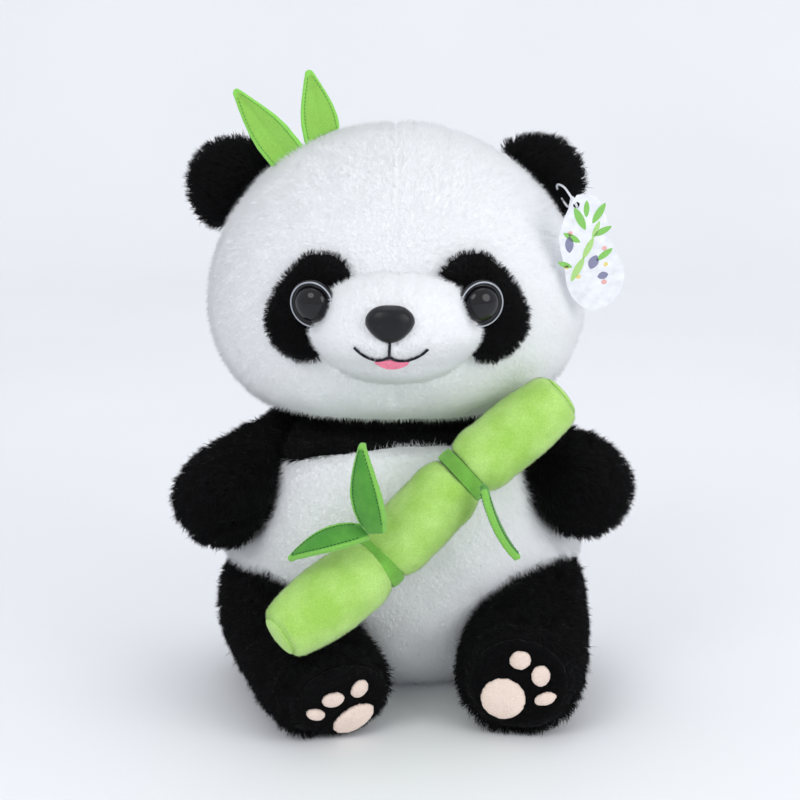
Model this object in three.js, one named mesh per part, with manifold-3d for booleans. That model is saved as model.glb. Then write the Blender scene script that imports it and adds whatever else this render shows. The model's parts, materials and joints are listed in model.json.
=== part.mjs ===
// A sitting plush panda with a stuffed bamboo stalk across its belly. Millimetres, +Z up.
// The panda faces -Y, its own left side is +X, and the origin is on the floor under its seat.
// A soft outline is the outer surface of the pile. A skin is the sewn plush with its pile, and a
// stuffing is the loose polyester fibre that fills it.
import * as THREE from "three";
import { ConvexGeometry } from "three/addons/geometries/ConvexGeometry.js";
import { mergeVertices } from "three/addons/utils/BufferGeometryUtils.js";
import Module from "manifold-3d";

const wasm = await Module();
wasm.setup();

// ---------- Driving dimensions ----------
const GAP = 0.4; // between pieces that are sewn, glued or laid against each other
const LONG_PLUSH = 6; // fur fabric with its pile
const SHORT_PLUSH = 2.5; // sole fabric
const LEAF_THICK = 2.4; // two layers of felt sewn together

// A soft form's half sizes about its centre. A power above 2 squares its shoulders.
const HEAD = {
  at: [0, -2, 178],
  side: 91,
  front: 73,
  back: 70,
  up: 89,
  down: 52,
  power: 2,
  powerBelow: 2.6,
};
const TORSO = {
  at: [3, 2, 62],
  side: 87,
  front: 70,
  back: 62,
  up: 84,
  down: 72,
  power: 2.6,
  powerBelow: 2.3,
};
const SHOULDER_TAPER = 0.12; // how much narrower the torso is at its top
const MUZZLE = {
  at: [0, -62, 181],
  side: 38,
  front: 35,
  back: 20,
  up: 27,
  down: 25,
  power: 2.3,
  powerBelow: 2.2,
};
const TAIL = { at: [0, 66, 34], side: 17, front: 15, back: 15, up: 16, down: 16, power: 2, powerBelow: 2 };
const EAR = { side: 22.5, front: 8, back: 8, up: 22.5, down: 22.5, power: 2.2, powerBelow: 2.2 };
const EAR_AT = { left: [66, 13, 235], right: [-75, 13, 233.5] };

const NECK = { at: [0, 0, 122], radius: 20 };
const HEAD_ROOM = 7.5; // the hollow under the head leaves this much for it to nod and turn

const EYE = { spread: 36, middle: 0.6, z: 195, dome: 9, flange: 11.6, height: 6.2, turn: 22, tilt: 3 };
const EYE_WASHER_DEPTH = 13.5;
const NOSE = { at: [-2.3, -94.5, 190.8], width: 22, height: 16.8, depth: 7.5 };
const SHANK_RADIUS = 2.4;
const WASHER = { radius: 9, thick: 1.6 };
const PATCH_THICK = 4.5;

const ARM = { rootRadius: 19, pawRadius: 23.5, tip: 21 };
const ARM_LINE = {
  left: { shoulder: [54, -4, 109], reach: [34, -37, -9] },
  right: { shoulder: [-51, -4, 109], reach: [-30, -39, -14] },
};
const ARM_ROOM = { clear: 1.4, angles: [-10, 4, 18] }; // degrees that an arm swings through

const LEG = { rootRadius: 25, floorClear: 0.3 };
const LEG_LINE = {
  left: { hip: [65.5, -12, 36], length: 85, turn: -7, taller: 4 },
  right: { hip: [-60.5, -12, 36], length: 94, turn: 20.5, taller: -4 },
};
const LEG_ROOM = { clear: 1.4, angles: [-6, 0, 6] };
const SOLE = {
  left: { across: 22, high: 21, shift: [0, 0], pitch: 3 },
  right: { across: 21.5, high: 18.5, shift: [3.5, -3.6], pitch: 15 },
};

const STALK = { waist: 13, end: 13.2, fillRadius: 10, bandWidth: 7.6, bandThick: 1.2 };
const STALK_POINTS = [[-49.5, -112, 56], [-7, -87, 81], [30, -77, 118], [73, -65, 150.5]];
const STALK_BELLY = [16.8, 15.7, 15.4]; // the widest radius of each segment

const TAG = { at: [88.7, -40.5, 211], thick: 1, tilt: 12, turn: 6 };

// ---------- Geometry helpers ----------
const place = (list) => new THREE.Vector3(...list);
const rad = THREE.MathUtils.degToRad;

// Closed geometry, with only its positions and with shared vertices merged.
function closed(geometry) {
  const bare = geometry.index ? geometry.toNonIndexed() : geometry.clone();
  const only = new THREE.BufferGeometry().setAttribute("position", bare.getAttribute("position"));
  return mergeVertices(only, 1e-3);
}

function solid(geometry) {
  const merged = closed(geometry);
  return new wasm.Manifold(
    new wasm.Mesh({
      numProp: 3,
      vertProperties: new Float32Array(merged.attributes.position.array),
      triVerts: new Uint32Array(merged.index.array),
    }),
  );
}

function geometryOf(manifold) {
  const mesh = manifold.getMesh();
  const places = new Float32Array(mesh.numVert * 3);
  for (let i = 0; i < mesh.numVert; i++) {
    places.set(mesh.vertProperties.subarray(i * mesh.numProp, i * mesh.numProp + 3), i * 3);
  }
  const made = new THREE.BufferGeometry().setAttribute("position", new THREE.BufferAttribute(places, 3));
  made.setIndex(new THREE.BufferAttribute(new Uint32Array(mesh.triVerts), 1));
  return made;
}

// A soft form about its own centre, grown all round, and narrowed towards its top by a taper.
function cushion(shape, detail, grow = 0, taper = 0) {
  const geometry = new THREE.IcosahedronGeometry(1, detail);
  const position = geometry.attributes.position;
  const d = new THREE.Vector3();
  for (let i = 0; i < position.count; i++) {
    d.fromBufferAttribute(position, i).normalize();
    const halfY = (d.y < 0 ? shape.front : shape.back) + grow;
    const halfZ = (d.z < 0 ? shape.down : shape.up) + grow;
    const low = THREE.MathUtils.smoothstep(-d.z, 0, 0.6);
    const n = THREE.MathUtils.lerp(shape.power, shape.powerBelow, low);
    const sum =
      Math.abs(d.x / (shape.side + grow)) ** n + Math.abs(d.y / halfY) ** n + Math.abs(d.z / halfZ) ** n;
    d.multiplyScalar(sum ** (-1 / n));
    const narrow = 1 - taper * Math.max(0, d.z / halfZ) ** 2;
    position.setXYZ(i, d.x * narrow, d.y, d.z);
  }
  return geometry;
}

const cushionAt = (shape, detail, grow, taper) => cushion(shape, detail, grow, taper).translate(...shape.at);

function box(low, high) {
  const size = high.map((value, k) => value - low[k]);
  const middle = high.map((value, k) => (value + low[k]) / 2);
  return solid(new THREE.BoxGeometry(...size).translate(...middle));
}

const FAR = 400;
const above = (z) => box([-FAR, -FAR, z], [FAR, FAR, FAR]);
const below = (z) => box([-FAR, -FAR, -FAR], [FAR, FAR, z]);
const rightOf = (x) => box([-FAR, -FAR, -FAR], [x, FAR, FAR]);
const leftOf = (x) => box([x, -FAR, -FAR], [FAR, FAR, FAR]);
const inFrontOf = (y) => box([-FAR, -FAR, -FAR], [FAR, y, FAR]);
const behind = (y) => box([-FAR, y, -FAR], [FAR, FAR, FAR]);

// A closed tube through oval stations { at, across, high }, with a dome of the given length on each end.
function loft(stations, { sides = 18, domes = [10, 10], rings = 3 } = {}) {
  const points = stations.map((station) => place(station.at));
  const last = stations.length - 1;
  const vertical = new THREE.Vector3(0, 0, 1);
  const frameAt = (i) => {
    const along = points[Math.min(i + 1, last)].clone().sub(points[Math.max(i - 1, 0)]).normalize();
    const across = new THREE.Vector3().crossVectors(along, vertical).normalize();
    const high = new THREE.Vector3().crossVectors(across, along).normalize();
    return { along, across, high };
  };
  const list = [];
  const addRing = (i, share, offset) => {
    const { along, across, high } = frameAt(i);
    list.push(
      Array.from({ length: sides }, (_, k) => {
        const turn = (k / sides) * 2 * Math.PI;
        return points[i]
          .clone()
          .addScaledVector(along, offset)
          .addScaledVector(across, Math.cos(turn) * stations[i].across * share)
          .addScaledVector(high, Math.sin(turn) * stations[i].high * share);
      }),
    );
  };
  for (let k = rings - 1; k > 0; k--) {
    const turn = (k / rings) * (Math.PI / 2);
    addRing(0, Math.cos(turn), -domes[0] * Math.sin(turn));
  }
  for (let i = 0; i <= last; i++) addRing(i, 1, 0);
  for (let k = 1; k < rings; k++) {
    const turn = (k / rings) * (Math.PI / 2);
    addRing(last, Math.cos(turn), domes[1] * Math.sin(turn));
  }
  const start = points[0].clone().addScaledVector(frameAt(0).along, -domes[0]);
  const end = points[last].clone().addScaledVector(frameAt(last).along, domes[1]);
  const vertices = [start, ...list.flat(), end].flatMap((p) => p.toArray());
  const at = (ring, k) => 1 + ring * sides + (k % sides);
  const index = [];
  for (let k = 0; k < sides; k++) {
    index.push(0, at(0, k), at(0, k + 1));
    for (let ring = 0; ring < list.length - 1; ring++) {
      index.push(at(ring, k), at(ring + 1, k + 1), at(ring, k + 1));
      index.push(at(ring, k), at(ring + 1, k), at(ring + 1, k + 1));
    }
    index.push(at(list.length - 1, k), 1 + list.length * sides, at(list.length - 1, k + 1));
  }
  const position = new THREE.Float32BufferAttribute(vertices, 3);
  return new THREE.BufferGeometry().setAttribute("position", position).setIndex(index);
}

// A plate whose outline is a smooth closed line through [x, z] points, standing in the XZ plane.
// It reaches from y = 0 to y = -depth, and so towards the front.
function plate(outline, depth, divisions) {
  const line = new THREE.CatmullRomCurve3(outline.map(([x, z]) => new THREE.Vector3(x, z, 0)), true);
  const points = line.getSpacedPoints(divisions).slice(0, -1).map((p) => new THREE.Vector2(p.x, p.y));
  const slab = new THREE.ExtrudeGeometry(new THREE.Shape(points), { depth, bevelEnabled: false });
  return slab.rotateX(Math.PI / 2);
}

// A turned piece about the Y axis, from [radius, y] points.
const turned = (profile, segments = 20) =>
  new THREE.LatheGeometry(profile.map(([r, y]) => new THREE.Vector2(r, y)), segments);

// ---------- The exported group ----------
const panda = new THREE.Group();

function add(name, geometry, color, finish = {}, parent = panda) {
  const material = new THREE.MeshStandardMaterial({ color, roughness: 0.95, metalness: 0, ...finish });
  const mesh = new THREE.Mesh(geometry.index ? geometry : closed(geometry), material);
  mesh.name = name;
  parent.add(mesh);
  return mesh;
}

const WHITE_PILE = "#eef1f3";
const BLACK_PILE = "#08080a";
const FIBRE = "#f7f7f4";
const SOLE_BLACK = "#0c0c10";
const PAD_PINK = "#f3dccf";
const FLEECE_GREEN = "#a5d867";
const BAND_GREEN = "#5cab3e";
const FELT_GREEN = "#6fbb45";
const HEAD_LEAF_GREEN = "#93cf5b";
const WASHER_WHITE = "#e8e8e8";
const GLOSSY = { roughness: 0.12 };

// An oval disc in the XZ plane, with its front face at y = 0.
const ovalDisc = (across, high, thick) =>
  new THREE.CylinderGeometry(1, 1, thick, 22).scale(across, 1, high).translate(0, thick / 2, 0);

// ---------- Tag loop ----------
// A plastic loop through the lower edge of the left ear and the hole of the card.
const tagMatrix = new THREE.Matrix4()
  .makeRotationFromEuler(new THREE.Euler(rad(TAG.tilt), 0, rad(TAG.turn), "ZXY"))
  .setPosition(...TAG.at);
const TAG_HOLE = { at: [-9, 23.5], radius: 1.6 };
const LOOP_RADIUS = 0.5;
const LOOP_EAR = [[80, -3, 226], [77, 9, 230], [75, -3, 236], [77, -20, 237.5]];
function tagLoop(grow) {
  const through = (y) => new THREE.Vector3(TAG_HOLE.at[0], y, TAG_HOLE.at[1]).applyMatrix4(tagMatrix);
  const points = [...LOOP_EAR.map(place), through(-4), through(2.5), through(9)];
  const line = new THREE.CatmullRomCurve3(points, true);
  return solid(new THREE.TubeGeometry(line, 30, LOOP_RADIUS + grow, 6, true));
}

// ---------- Limb shapes ----------
const grown = (stations, by) =>
  stations.map((station) => ({ at: station.at, across: station.across + by, high: station.high + by }));

// The root of an arm is a ball about its shoulder, so that it turns there without moving aside.
function armStations(name) {
  const { shoulder, reach } = ARM_LINE[name];
  const along = (t, radius) => {
    return { at: shoulder.map((value, k) => value + reach[k] * t), across: radius, high: radius };
  };
  const paw = ARM.pawRadius;
  return [along(0, ARM.rootRadius), along(0.4, 21), along(0.8, paw - 0.4), along(1, paw - 0.8)];
}
const armDomes = [ARM.rootRadius, ARM.tip];

// A leg lies along -Y from its hip at the origin, with its underside just above the floor.
function legStations(name) {
  const { hip, length, taller } = LEG_LINE[name];
  const rows = [
    [0, LEG.rootRadius, 36],
    [0.29, 27, 32.5],
    [0.57, 28, 27.5],
    [0.8, 28.5, 25],
    [1, 28.5, 25],
  ];
  return rows.map(([t, across, high]) => {
    const halfHigh = high + (taller / 2) * Math.min(1, 1.6 * t);
    return { at: [0, -length * t, halfHigh + LEG.floorClear - hip[2]], across, high: halfHigh };
  });
}
const legDomes = [LEG.rootRadius, 7];

function legMatrix(name, extraTurn = 0) {
  const { hip, turn } = LEG_LINE[name];
  return new THREE.Matrix4().makeRotationZ(rad(turn + extraTurn)).setPosition(...hip);
}

// The room that a limb sweeps through: the hull of the grown limb at a few angles. The limb is drawn
// with few sides, so it is grown a little more, until its flats also clear the round limb.
const FLATS = 1.05;
function swept(stations, domes, clear, matrices) {
  const roomy = stations.map(({ at, across, high }) => {
    return { at, across: (across + clear) * FLATS, high: (high + clear) * FLATS };
  });
  const limb = closed(loft(roomy, { sides: 10, domes: domes.map((d) => (d + clear) * FLATS), rings: 3 }));
  const position = limb.attributes.position;
  const points = [];
  for (const matrix of matrices) {
    for (let i = 0; i < position.count; i++) {
      points.push(new THREE.Vector3().fromBufferAttribute(position, i).applyMatrix4(matrix));
    }
  }
  return solid(new ConvexGeometry(points));
}

function sweptArm(name) {
  const { shoulder } = ARM_LINE[name];
  const there = new THREE.Matrix4().makeTranslation(...shoulder);
  const back = new THREE.Matrix4().makeTranslation(...shoulder.map((value) => -value));
  const turns = ARM_ROOM.angles.map((angle) => new THREE.Matrix4().makeRotationX(-rad(angle)));
  const matrices = turns.map((turn) => there.clone().multiply(turn).multiply(back));
  return swept(armStations(name), armDomes, ARM_ROOM.clear, matrices);
}

function sweptLeg(name) {
  const matrices = LEG_ROOM.angles.map((angle) => legMatrix(name, angle));
  return swept(legStations(name), legDomes, LEG_ROOM.clear, matrices);
}

// ---------- Torso ----------
const neckBall = (grow) => solid(new THREE.IcosahedronGeometry(NECK.radius + grow, 3).translate(...NECK.at));
const headRoom = (grow) => solid(cushionAt(HEAD, 4, HEAD_ROOM + grow));

const torso = (detail, grow) => solid(cushionAt(TORSO, detail, grow, SHOULDER_TAPER));
const armRooms = sweptArm("left").add(sweptArm("right"));
const legRooms = sweptLeg("left").add(sweptLeg("right"));
const limbRooms = armRooms.add(legRooms).add(neckBall(GAP));
const torsoFill = (inset) => torso(3, -inset).intersect(above(inset)).subtract(headRoom(inset));
const torsoSkin = torso(5, 0)
  .intersect(above(0))
  .subtract(headRoom(0))
  .subtract(torsoFill(LONG_PLUSH))
  .subtract(limbRooms);

// The yoke's lower edge is a wide arch over the chest, and the yoke also lines the hollow under the head.
const YOKE = { x: 15, top: 124.5, radius: 190 };
const whiteZone = (grow) =>
  solid(
    new THREE.CylinderGeometry(YOKE.radius + grow, YOKE.radius + grow, 2 * FAR, 72)
      .translate(YOKE.x, 0, YOKE.top - YOKE.radius),
  ).subtract(headRoom(LONG_PLUSH + 1 - grow));
const SEAT_TOP = 4;
const SIDE_SEAM_Y = 6;
const belowYoke = torsoSkin.intersect(whiteZone(0)).intersect(above(SEAT_TOP + GAP));
const yoke = torsoSkin.subtract(whiteZone(GAP));
const front = inFrontOf(SIDE_SEAM_Y - GAP / 2);
const rear = behind(SIDE_SEAM_Y + GAP / 2);
const largest = (manifold) => manifold.decompose().sort((a, b) => b.volume() - a.volume())[0];

const torsoStuffing = torsoFill(LONG_PLUSH + GAP).subtract(limbRooms);
add("torso_stuffing", geometryOf(largest(torsoStuffing)), FIBRE);
add("belly_panel", geometryOf(largest(belowYoke.intersect(front))), WHITE_PILE);
add("back_panel", geometryOf(largest(belowYoke.intersect(rear))), WHITE_PILE);
add("shoulder_yoke_front", geometryOf(largest(yoke.intersect(front))), BLACK_PILE);
add("shoulder_yoke_back", geometryOf(largest(yoke.intersect(rear))), BLACK_PILE);
add("seat_panel", geometryOf(largest(torsoSkin.intersect(below(SEAT_TOP)))), WHITE_PILE);
add("tail", geometryOf(solid(cushionAt(TAIL, 3)).subtract(torso(5, GAP))), WHITE_PILE);

// ---------- Neck ----------
add("neck_stuffing", new THREE.IcosahedronGeometry(NECK.radius, 3).translate(...NECK.at), FIBRE);

// ---------- Head ----------
const head = (detail, grow = 0) => solid(cushionAt(HEAD, detail, grow));
const placed = (geometry, matrix) => geometry.clone().applyMatrix4(matrix);
const sides = [
  { name: "left", side: 1 },
  { name: "right", side: -1 },
];
const eyeX = (side) => EYE.middle + side * EYE.spread;

function headFrontAt(x, z, grow) {
  const u = Math.abs((x - HEAD.at[0]) / (HEAD.side + grow)) ** HEAD.power;
  const w = Math.abs((z - HEAD.at[2]) / (HEAD.up + grow)) ** HEAD.power;
  return HEAD.at[1] - (HEAD.front + grow) * (1 - u - w) ** (1 / HEAD.power);
}

// The frame of an eye: its origin is the middle of the flange's back, and +Y goes into the head.
function eyeMatrix(side) {
  const seat = headFrontAt(eyeX(side), EYE.z, PATCH_THICK) - 0.2;
  const turn = new THREE.Euler(rad(EYE.tilt), 0, side * rad(EYE.turn), "ZXY");
  return new THREE.Matrix4().makeRotationFromEuler(turn).setPosition(eyeX(side), seat, EYE.z);
}
const eyeProfile = [
  [0, -EYE.height - 1.6],
  [EYE.dome * 0.5, -EYE.height - 0.7],
  [EYE.dome * 0.85, -EYE.height + 1.6],
  [EYE.dome, -2.2],
  [EYE.flange, -1.6],
  [EYE.flange, 0],
  [SHANK_RADIUS, 0],
  [SHANK_RADIUS, 18],
  [0, 18],
];
const eyeRoomProfile = [
  [0, -20],
  [EYE.flange + GAP, -20],
  [EYE.flange + GAP, GAP],
  [SHANK_RADIUS + GAP, GAP],
  [SHANK_RADIUS + GAP, 18 + GAP],
  [0, 18 + GAP],
];
const eyeRingProfile = [
  [EYE.flange - 1.4, -2.2],
  [EYE.flange - 1.4, -2.9],
  [EYE.flange - 0.9, -3.2],
  [EYE.flange - 0.3, -2.9],
  [EYE.flange - 0.3, -2.2],
  [EYE.flange - 1.4, -2.2],
];
const washerProfile = [
  [SHANK_RADIUS + GAP, 0],
  [WASHER.radius, 0],
  [WASHER.radius, WASHER.thick],
  [SHANK_RADIUS + GAP, WASHER.thick],
  [SHANK_RADIUS + GAP, 0],
];
const washerRoomProfile = [
  [0, -GAP],
  [WASHER.radius + GAP, -GAP],
  [WASHER.radius + GAP, WASHER.thick + 5],
  [0, WASHER.thick + 5],
];

// The nose is a rounded triangle, wide at the top, with a domed front and a shank behind.
const NOSE_OUTLINE = [
  [0, 0.5],
  [0.3, 0.44],
  [0.5, 0.12],
  [0.42, -0.16],
  [0.18, -0.44],
  [0, -0.5],
  [-0.18, -0.44],
  [-0.42, -0.16],
  [-0.5, 0.12],
  [-0.3, 0.44],
].map(([x, z]) => [x * NOSE.width, z * NOSE.height]);
const NOSE_ROWS = [
  { share: 1, y: 0 },
  { share: 1, y: -0.35 },
  { share: 0.84, y: -0.78 },
  { share: 0.45, y: -1 },
];

function noseSlab(near, far) {
  const outline = NOSE_OUTLINE.map(([x, z]) => [x * near.share, z * near.share]);
  const slab = plate(outline, (near.y - far.y) * NOSE.depth, 20);
  const position = slab.attributes.position;
  for (let k = 0; k < position.count; k++) {
    const shrink = position.getY(k) < -1e-6 ? far.share / near.share : 1;
    const y = position.getY(k) + near.y * NOSE.depth;
    position.setXYZ(k, position.getX(k) * shrink, y, position.getZ(k) * shrink);
  }
  return solid(slab);
}
const shank = (radius, length) =>
  new THREE.CylinderGeometry(radius, radius, length, 10).translate(0, length / 2, 0);
const noseWasherY = HEAD.at[1] - HEAD.front + LONG_PLUSH + 4;
const shankLength = noseWasherY - NOSE.at[1] + 4;
const noseSolid = noseSlab(NOSE_ROWS[0], NOSE_ROWS[1])
  .add(noseSlab(NOSE_ROWS[1], NOSE_ROWS[2]))
  .add(noseSlab(NOSE_ROWS[2], NOSE_ROWS[3]))
  .add(solid(shank(SHANK_RADIUS, shankLength).translate(0, -0.5, 0)));
const noseRoomOutline = NOSE_OUTLINE.map(([x, z]) => [x * 1.05, z * 1.06]);
const noseRoom = solid(shank(SHANK_RADIUS + GAP, shankLength + 2).translate(...NOSE.at)).add(
  solid(plate(noseRoomOutline, 14, 20).translate(0, GAP, 0).translate(...NOSE.at)),
);

const eyeRooms = sides
  .map(({ side }) => solid(placed(turned(eyeRoomProfile, 20), eyeMatrix(side))))
  .reduce((whole, one) => whole.add(one));
const washerMatrices = {
  left: eyeMatrix(1).multiply(new THREE.Matrix4().makeTranslation(0, EYE_WASHER_DEPTH, 0)),
  right: eyeMatrix(-1).multiply(new THREE.Matrix4().makeTranslation(0, EYE_WASHER_DEPTH, 0)),
  nose: new THREE.Matrix4().makeTranslation(NOSE.at[0], noseWasherY, NOSE.at[2]),
};
const washerRooms = Object.values(washerMatrices)
  .map((matrix) => solid(placed(turned(washerRoomProfile, 14), matrix)))
  .reduce((whole, one) => whole.add(one));

const headSockets = neckBall(GAP).add(eyeRooms).add(noseRoom).add(washerRooms);
const headSkin = head(5).subtract(head(3, -LONG_PLUSH)).subtract(headSockets);
const EAR_SEAM_Y = 8;
const face = headSkin.intersect(inFrontOf(EAR_SEAM_Y - GAP / 2));
const headBack = headSkin.intersect(behind(EAR_SEAM_Y + GAP / 2));
add("head_stuffing", geometryOf(largest(head(3, -LONG_PLUSH - GAP).subtract(headSockets))), FIBRE);
add("face_panel_left", geometryOf(largest(face.intersect(leftOf(GAP / 2)))), WHITE_PILE);
add("face_panel_right", geometryOf(largest(face.intersect(rightOf(-GAP / 2)))), WHITE_PILE);
add("head_back_panel", geometryOf(largest(headBack)), WHITE_PILE);

const muzzle = (grow) => solid(cushionAt(MUZZLE, 4, grow));
const headGrown = head(5, GAP);
const muzzleSolid = muzzle(0).subtract(headGrown).subtract(eyeRooms).subtract(noseRoom);
add("muzzle", geometryOf(largest(muzzleSolid)), WHITE_PILE);
add("nose", geometryOf(noseSolid).translate(...NOSE.at), "#26272b", { roughness: 0.35 });
add("nose_washer", placed(turned(washerProfile, 14), washerMatrices.nose), WASHER_WHITE);

// Each eye patch is bean shaped, and leans outwards below. Its points are from the eye's middle.
const PATCH_OUTLINE = [
  [-14.5, 11.5],
  [-11, 17],
  [0, 19.5],
  [10, 13],
  [18, 2],
  [23, -9],
  [21, -18],
  [14, -25],
  [5, -27],
  [-6, -20],
];
const patchShell = head(5, PATCH_THICK).subtract(headGrown);
sides.forEach(({ name, side }) => {
  const outline = PATCH_OUTLINE.map(([x, z]) => [eyeX(side) + side * x, EYE.z + z]);
  const column = solid(plate(side > 0 ? outline : outline.toReversed(), 120, 22));
  const patch = patchShell.intersect(column).subtract(muzzle(GAP)).subtract(eyeRooms);
  add("eye_patch_" + name, geometryOf(largest(patch)), BLACK_PILE);
  add("eye_" + name, placed(turned(eyeProfile, 20), eyeMatrix(side)), "#101014", GLOSSY);
  add("eye_ring_" + name, placed(turned(eyeRingProfile, 18), eyeMatrix(side)), "#b9bcc4", GLOSSY);
  add("eye_washer_" + name, placed(turned(washerProfile, 14), washerMatrices[name]), WASHER_WHITE);
});

// The mouth is embroidered on the front of the muzzle: a short drop from the nose and a wide smile.
function muzzlePoint(x, z, grow) {
  const power = (MUZZLE.power + MUZZLE.powerBelow) / 2;
  const halfZ = (z < MUZZLE.at[2] ? MUZZLE.down : MUZZLE.up) + grow;
  const u = Math.abs((x - MUZZLE.at[0]) / (MUZZLE.side + grow)) ** power;
  const w = Math.abs((z - MUZZLE.at[2]) / halfZ) ** power;
  return new THREE.Vector3(x, MUZZLE.at[1] - (MUZZLE.front + grow) * (1 - u - w) ** (1 / power), z);
}
const THREAD_RADIUS = 0.9;
const SMILE = [
  [-16, 180.2],
  [-13, 177],
  [-8.5, 175],
  [-5, 175.2],
  [-2.5, 177.2],
  [0.4, 175.2],
  [4.5, 174.8],
  [9.5, 176.6],
  [13.4, 180],
];
const DROP = [[-2.5, 183.5], [-2.5, 180], [-2.5, 177]];
function thread(line, radius, lift) {
  const section = Array.from({ length: 6 }, (_, k) => (k / 6) * 2 * Math.PI)
    .map((a) => new THREE.Vector2(Math.cos(a) * radius, Math.sin(a) * radius));
  const path = new THREE.CatmullRomCurve3(line.map(([x, z]) => muzzlePoint(x, z, lift)));
  const tube = { steps: 2 * line.length, extrudePath: path, bevelEnabled: false };
  return solid(new THREE.ExtrudeGeometry(new THREE.Shape(section), tube));
}
const MOUTH_LIFT = 1.6;
const mouth = (grow) =>
  thread(SMILE, THREAD_RADIUS + grow, MOUTH_LIFT).add(thread(DROP, THREAD_RADIUS + grow, MOUTH_LIFT));
const mouthSolid = mouth(0).subtract(muzzle(GAP)).subtract(noseRoom);
add("mouth_stitching", geometryOf(mouthSolid), "#15151a", { roughness: 0.7 });

const TONGUE_OUTLINE = [
  [-9.4, 174.6],
  [-2.5, 176.2],
  [6.4, 174.4],
  [3.4, 170.4],
  [-1.4, 168.4],
  [-6, 170.2],
];
const tongue = muzzle(1.6)
  .subtract(muzzle(GAP))
  .intersect(solid(plate(TONGUE_OUTLINE, 60, 16).translate(0, MUZZLE.at[1], 0)))
  .subtract(mouth(GAP));
add("tongue", geometryOf(largest(tongue)), "#ee7f9b");

// Each ear is a padded disc, sewn into the seam between the face and the back of the head.
sides.forEach(({ name }) => {
  const ear = solid(cushion(EAR, 3).translate(...EAR_AT[name])).subtract(headGrown);
  add("ear_" + name, geometryOf(largest(name === "left" ? ear.subtract(tagLoop(GAP)) : ear)), BLACK_PILE);
});

// ---------- Leaves ----------
// A leaf stands along +Z from its root, with its width along X. It arches towards -Y, and folds along
// its midrib.
function leaf({ length, width, arch, fold }) {
  const geometry = new THREE.BoxGeometry(1, 1, 1, 4, 1, 7).translate(0, 0, 0.5);
  const position = geometry.attributes.position;
  for (let i = 0; i < position.count; i++) {
    const t = position.getZ(i);
    const share = (0.14 + 0.86 * Math.sin(Math.PI * (0.12 + 0.88 * t) ** 0.85)) * (1 - 0.12 * t);
    const folded = fold * 2 * Math.abs(position.getX(i));
    const y = position.getY(i) * LEAF_THICK - arch * 4 * t * (1 - t) + folded;
    position.setXYZ(i, position.getX(i) * width * share, y, t * length);
  }
  return geometry;
}

// Turns +Z to point from root to tip, and the leaf's face (-Y) towards the given direction.
function leafMatrix(root, tip, face) {
  const along = place(tip).sub(place(root)).normalize();
  const across = new THREE.Vector3().crossVectors(along, place(face)).normalize();
  const back = new THREE.Vector3().crossVectors(along, across).normalize();
  return new THREE.Matrix4().makeBasis(across, back, along).setPosition(...root);
}

function leafOf(spec) {
  const length = place(spec.tip).distanceTo(place(spec.root));
  return leaf({ ...spec, length }).applyMatrix4(leafMatrix(spec.root, spec.tip, spec.face));
}

const HEAD_LEAVES = [
  {
    name: "head_leaf_outer",
    root: [-44.5, 1.5, 242],
    tip: [-74, 1, 279.5],
    face: [-0.1, -1, 0.1],
    width: 18,
    arch: 1,
    fold: -1.5,
  },
  {
    name: "head_leaf_inner",
    root: [-32.5, 4, 248],
    tip: [-40.5, 4, 288],
    face: [0.25, -1, 0],
    width: 18,
    arch: 1,
    fold: -1.5,
  },
];
const LEAF_CLEAR = 1.2; // between a leaf's root and the head, so that the leaf can bend
HEAD_LEAVES.forEach((spec) => {
  add(spec.name, geometryOf(solid(leafOf(spec)).subtract(head(5, LEAF_CLEAR))), HEAD_LEAF_GREEN);
});

// ---------- Arms ----------
const insideDome = (domes) => [domes[0] - LONG_PLUSH, domes[1] - LONG_PLUSH];
sides.forEach(({ name }) => {
  const stations = armStations(name);
  const inside = grown(stations, -LONG_PLUSH);
  const [rootDome, pawDome] = insideDome(armDomes);
  const outer = solid(loft(stations, { sides: 14, domes: armDomes, rings: 3 })).subtract(headRoom(0));
  const hollow = solid(loft(inside, { sides: 12, domes: [rootDome + 14, pawDome] }));
  const fill = solid(loft(grown(inside, -GAP), { sides: 12, domes: [rootDome, pawDome - GAP] }));
  const skin = outer.subtract(hollow.subtract(headRoom(LONG_PLUSH)));
  add("arm_skin_" + name, geometryOf(skin), BLACK_PILE);
  add("arm_stuffing_" + name, geometryOf(fill.subtract(headRoom(LONG_PLUSH + GAP))), FIBRE);
});

// ---------- Legs ----------
// One heel pad and three toes on each sole, in the sole's own frame.
const PADS = {
  left: [
    { pad: "heel_pad", at: [-6.8, -7.4], half: [10.2, 10], turn: -25 },
    { pad: "toe_pad_inner", at: [0.6, 11.8], half: [4.9, 4.5], turn: 20 },
    { pad: "toe_pad_middle", at: [9.8, 4.6], half: [4.2, 5.2], turn: -5 },
    { pad: "toe_pad_outer", at: [12, -6.4], half: [5.3, 3], turn: 22 },
  ],
  right: [
    { pad: "heel_pad", at: [5.6, -9.6], half: [10.6, 6.2], turn: 30 },
    { pad: "toe_pad_inner", at: [7, 6.6], half: [3.8, 5], turn: -22 },
    { pad: "toe_pad_middle", at: [-5, 2.6], half: [5.4, 3.9], turn: 0 },
    { pad: "toe_pad_outer", at: [-12.6, -4.2], half: [5, 2.8], turn: -24 },
  ],
};
const PAD_THICK = 1;

function oval([x, z], [halfWidth, halfHigh], turn) {
  const corners = Array.from({ length: 8 }, (_, k) => (k / 8) * 2 * Math.PI);
  return corners.map((a) => {
    const [u, w] = [Math.cos(a) * halfWidth, Math.sin(a) * halfHigh];
    return [x + u * Math.cos(turn) - w * Math.sin(turn), z + u * Math.sin(turn) + w * Math.cos(turn)];
  });
}

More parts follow.
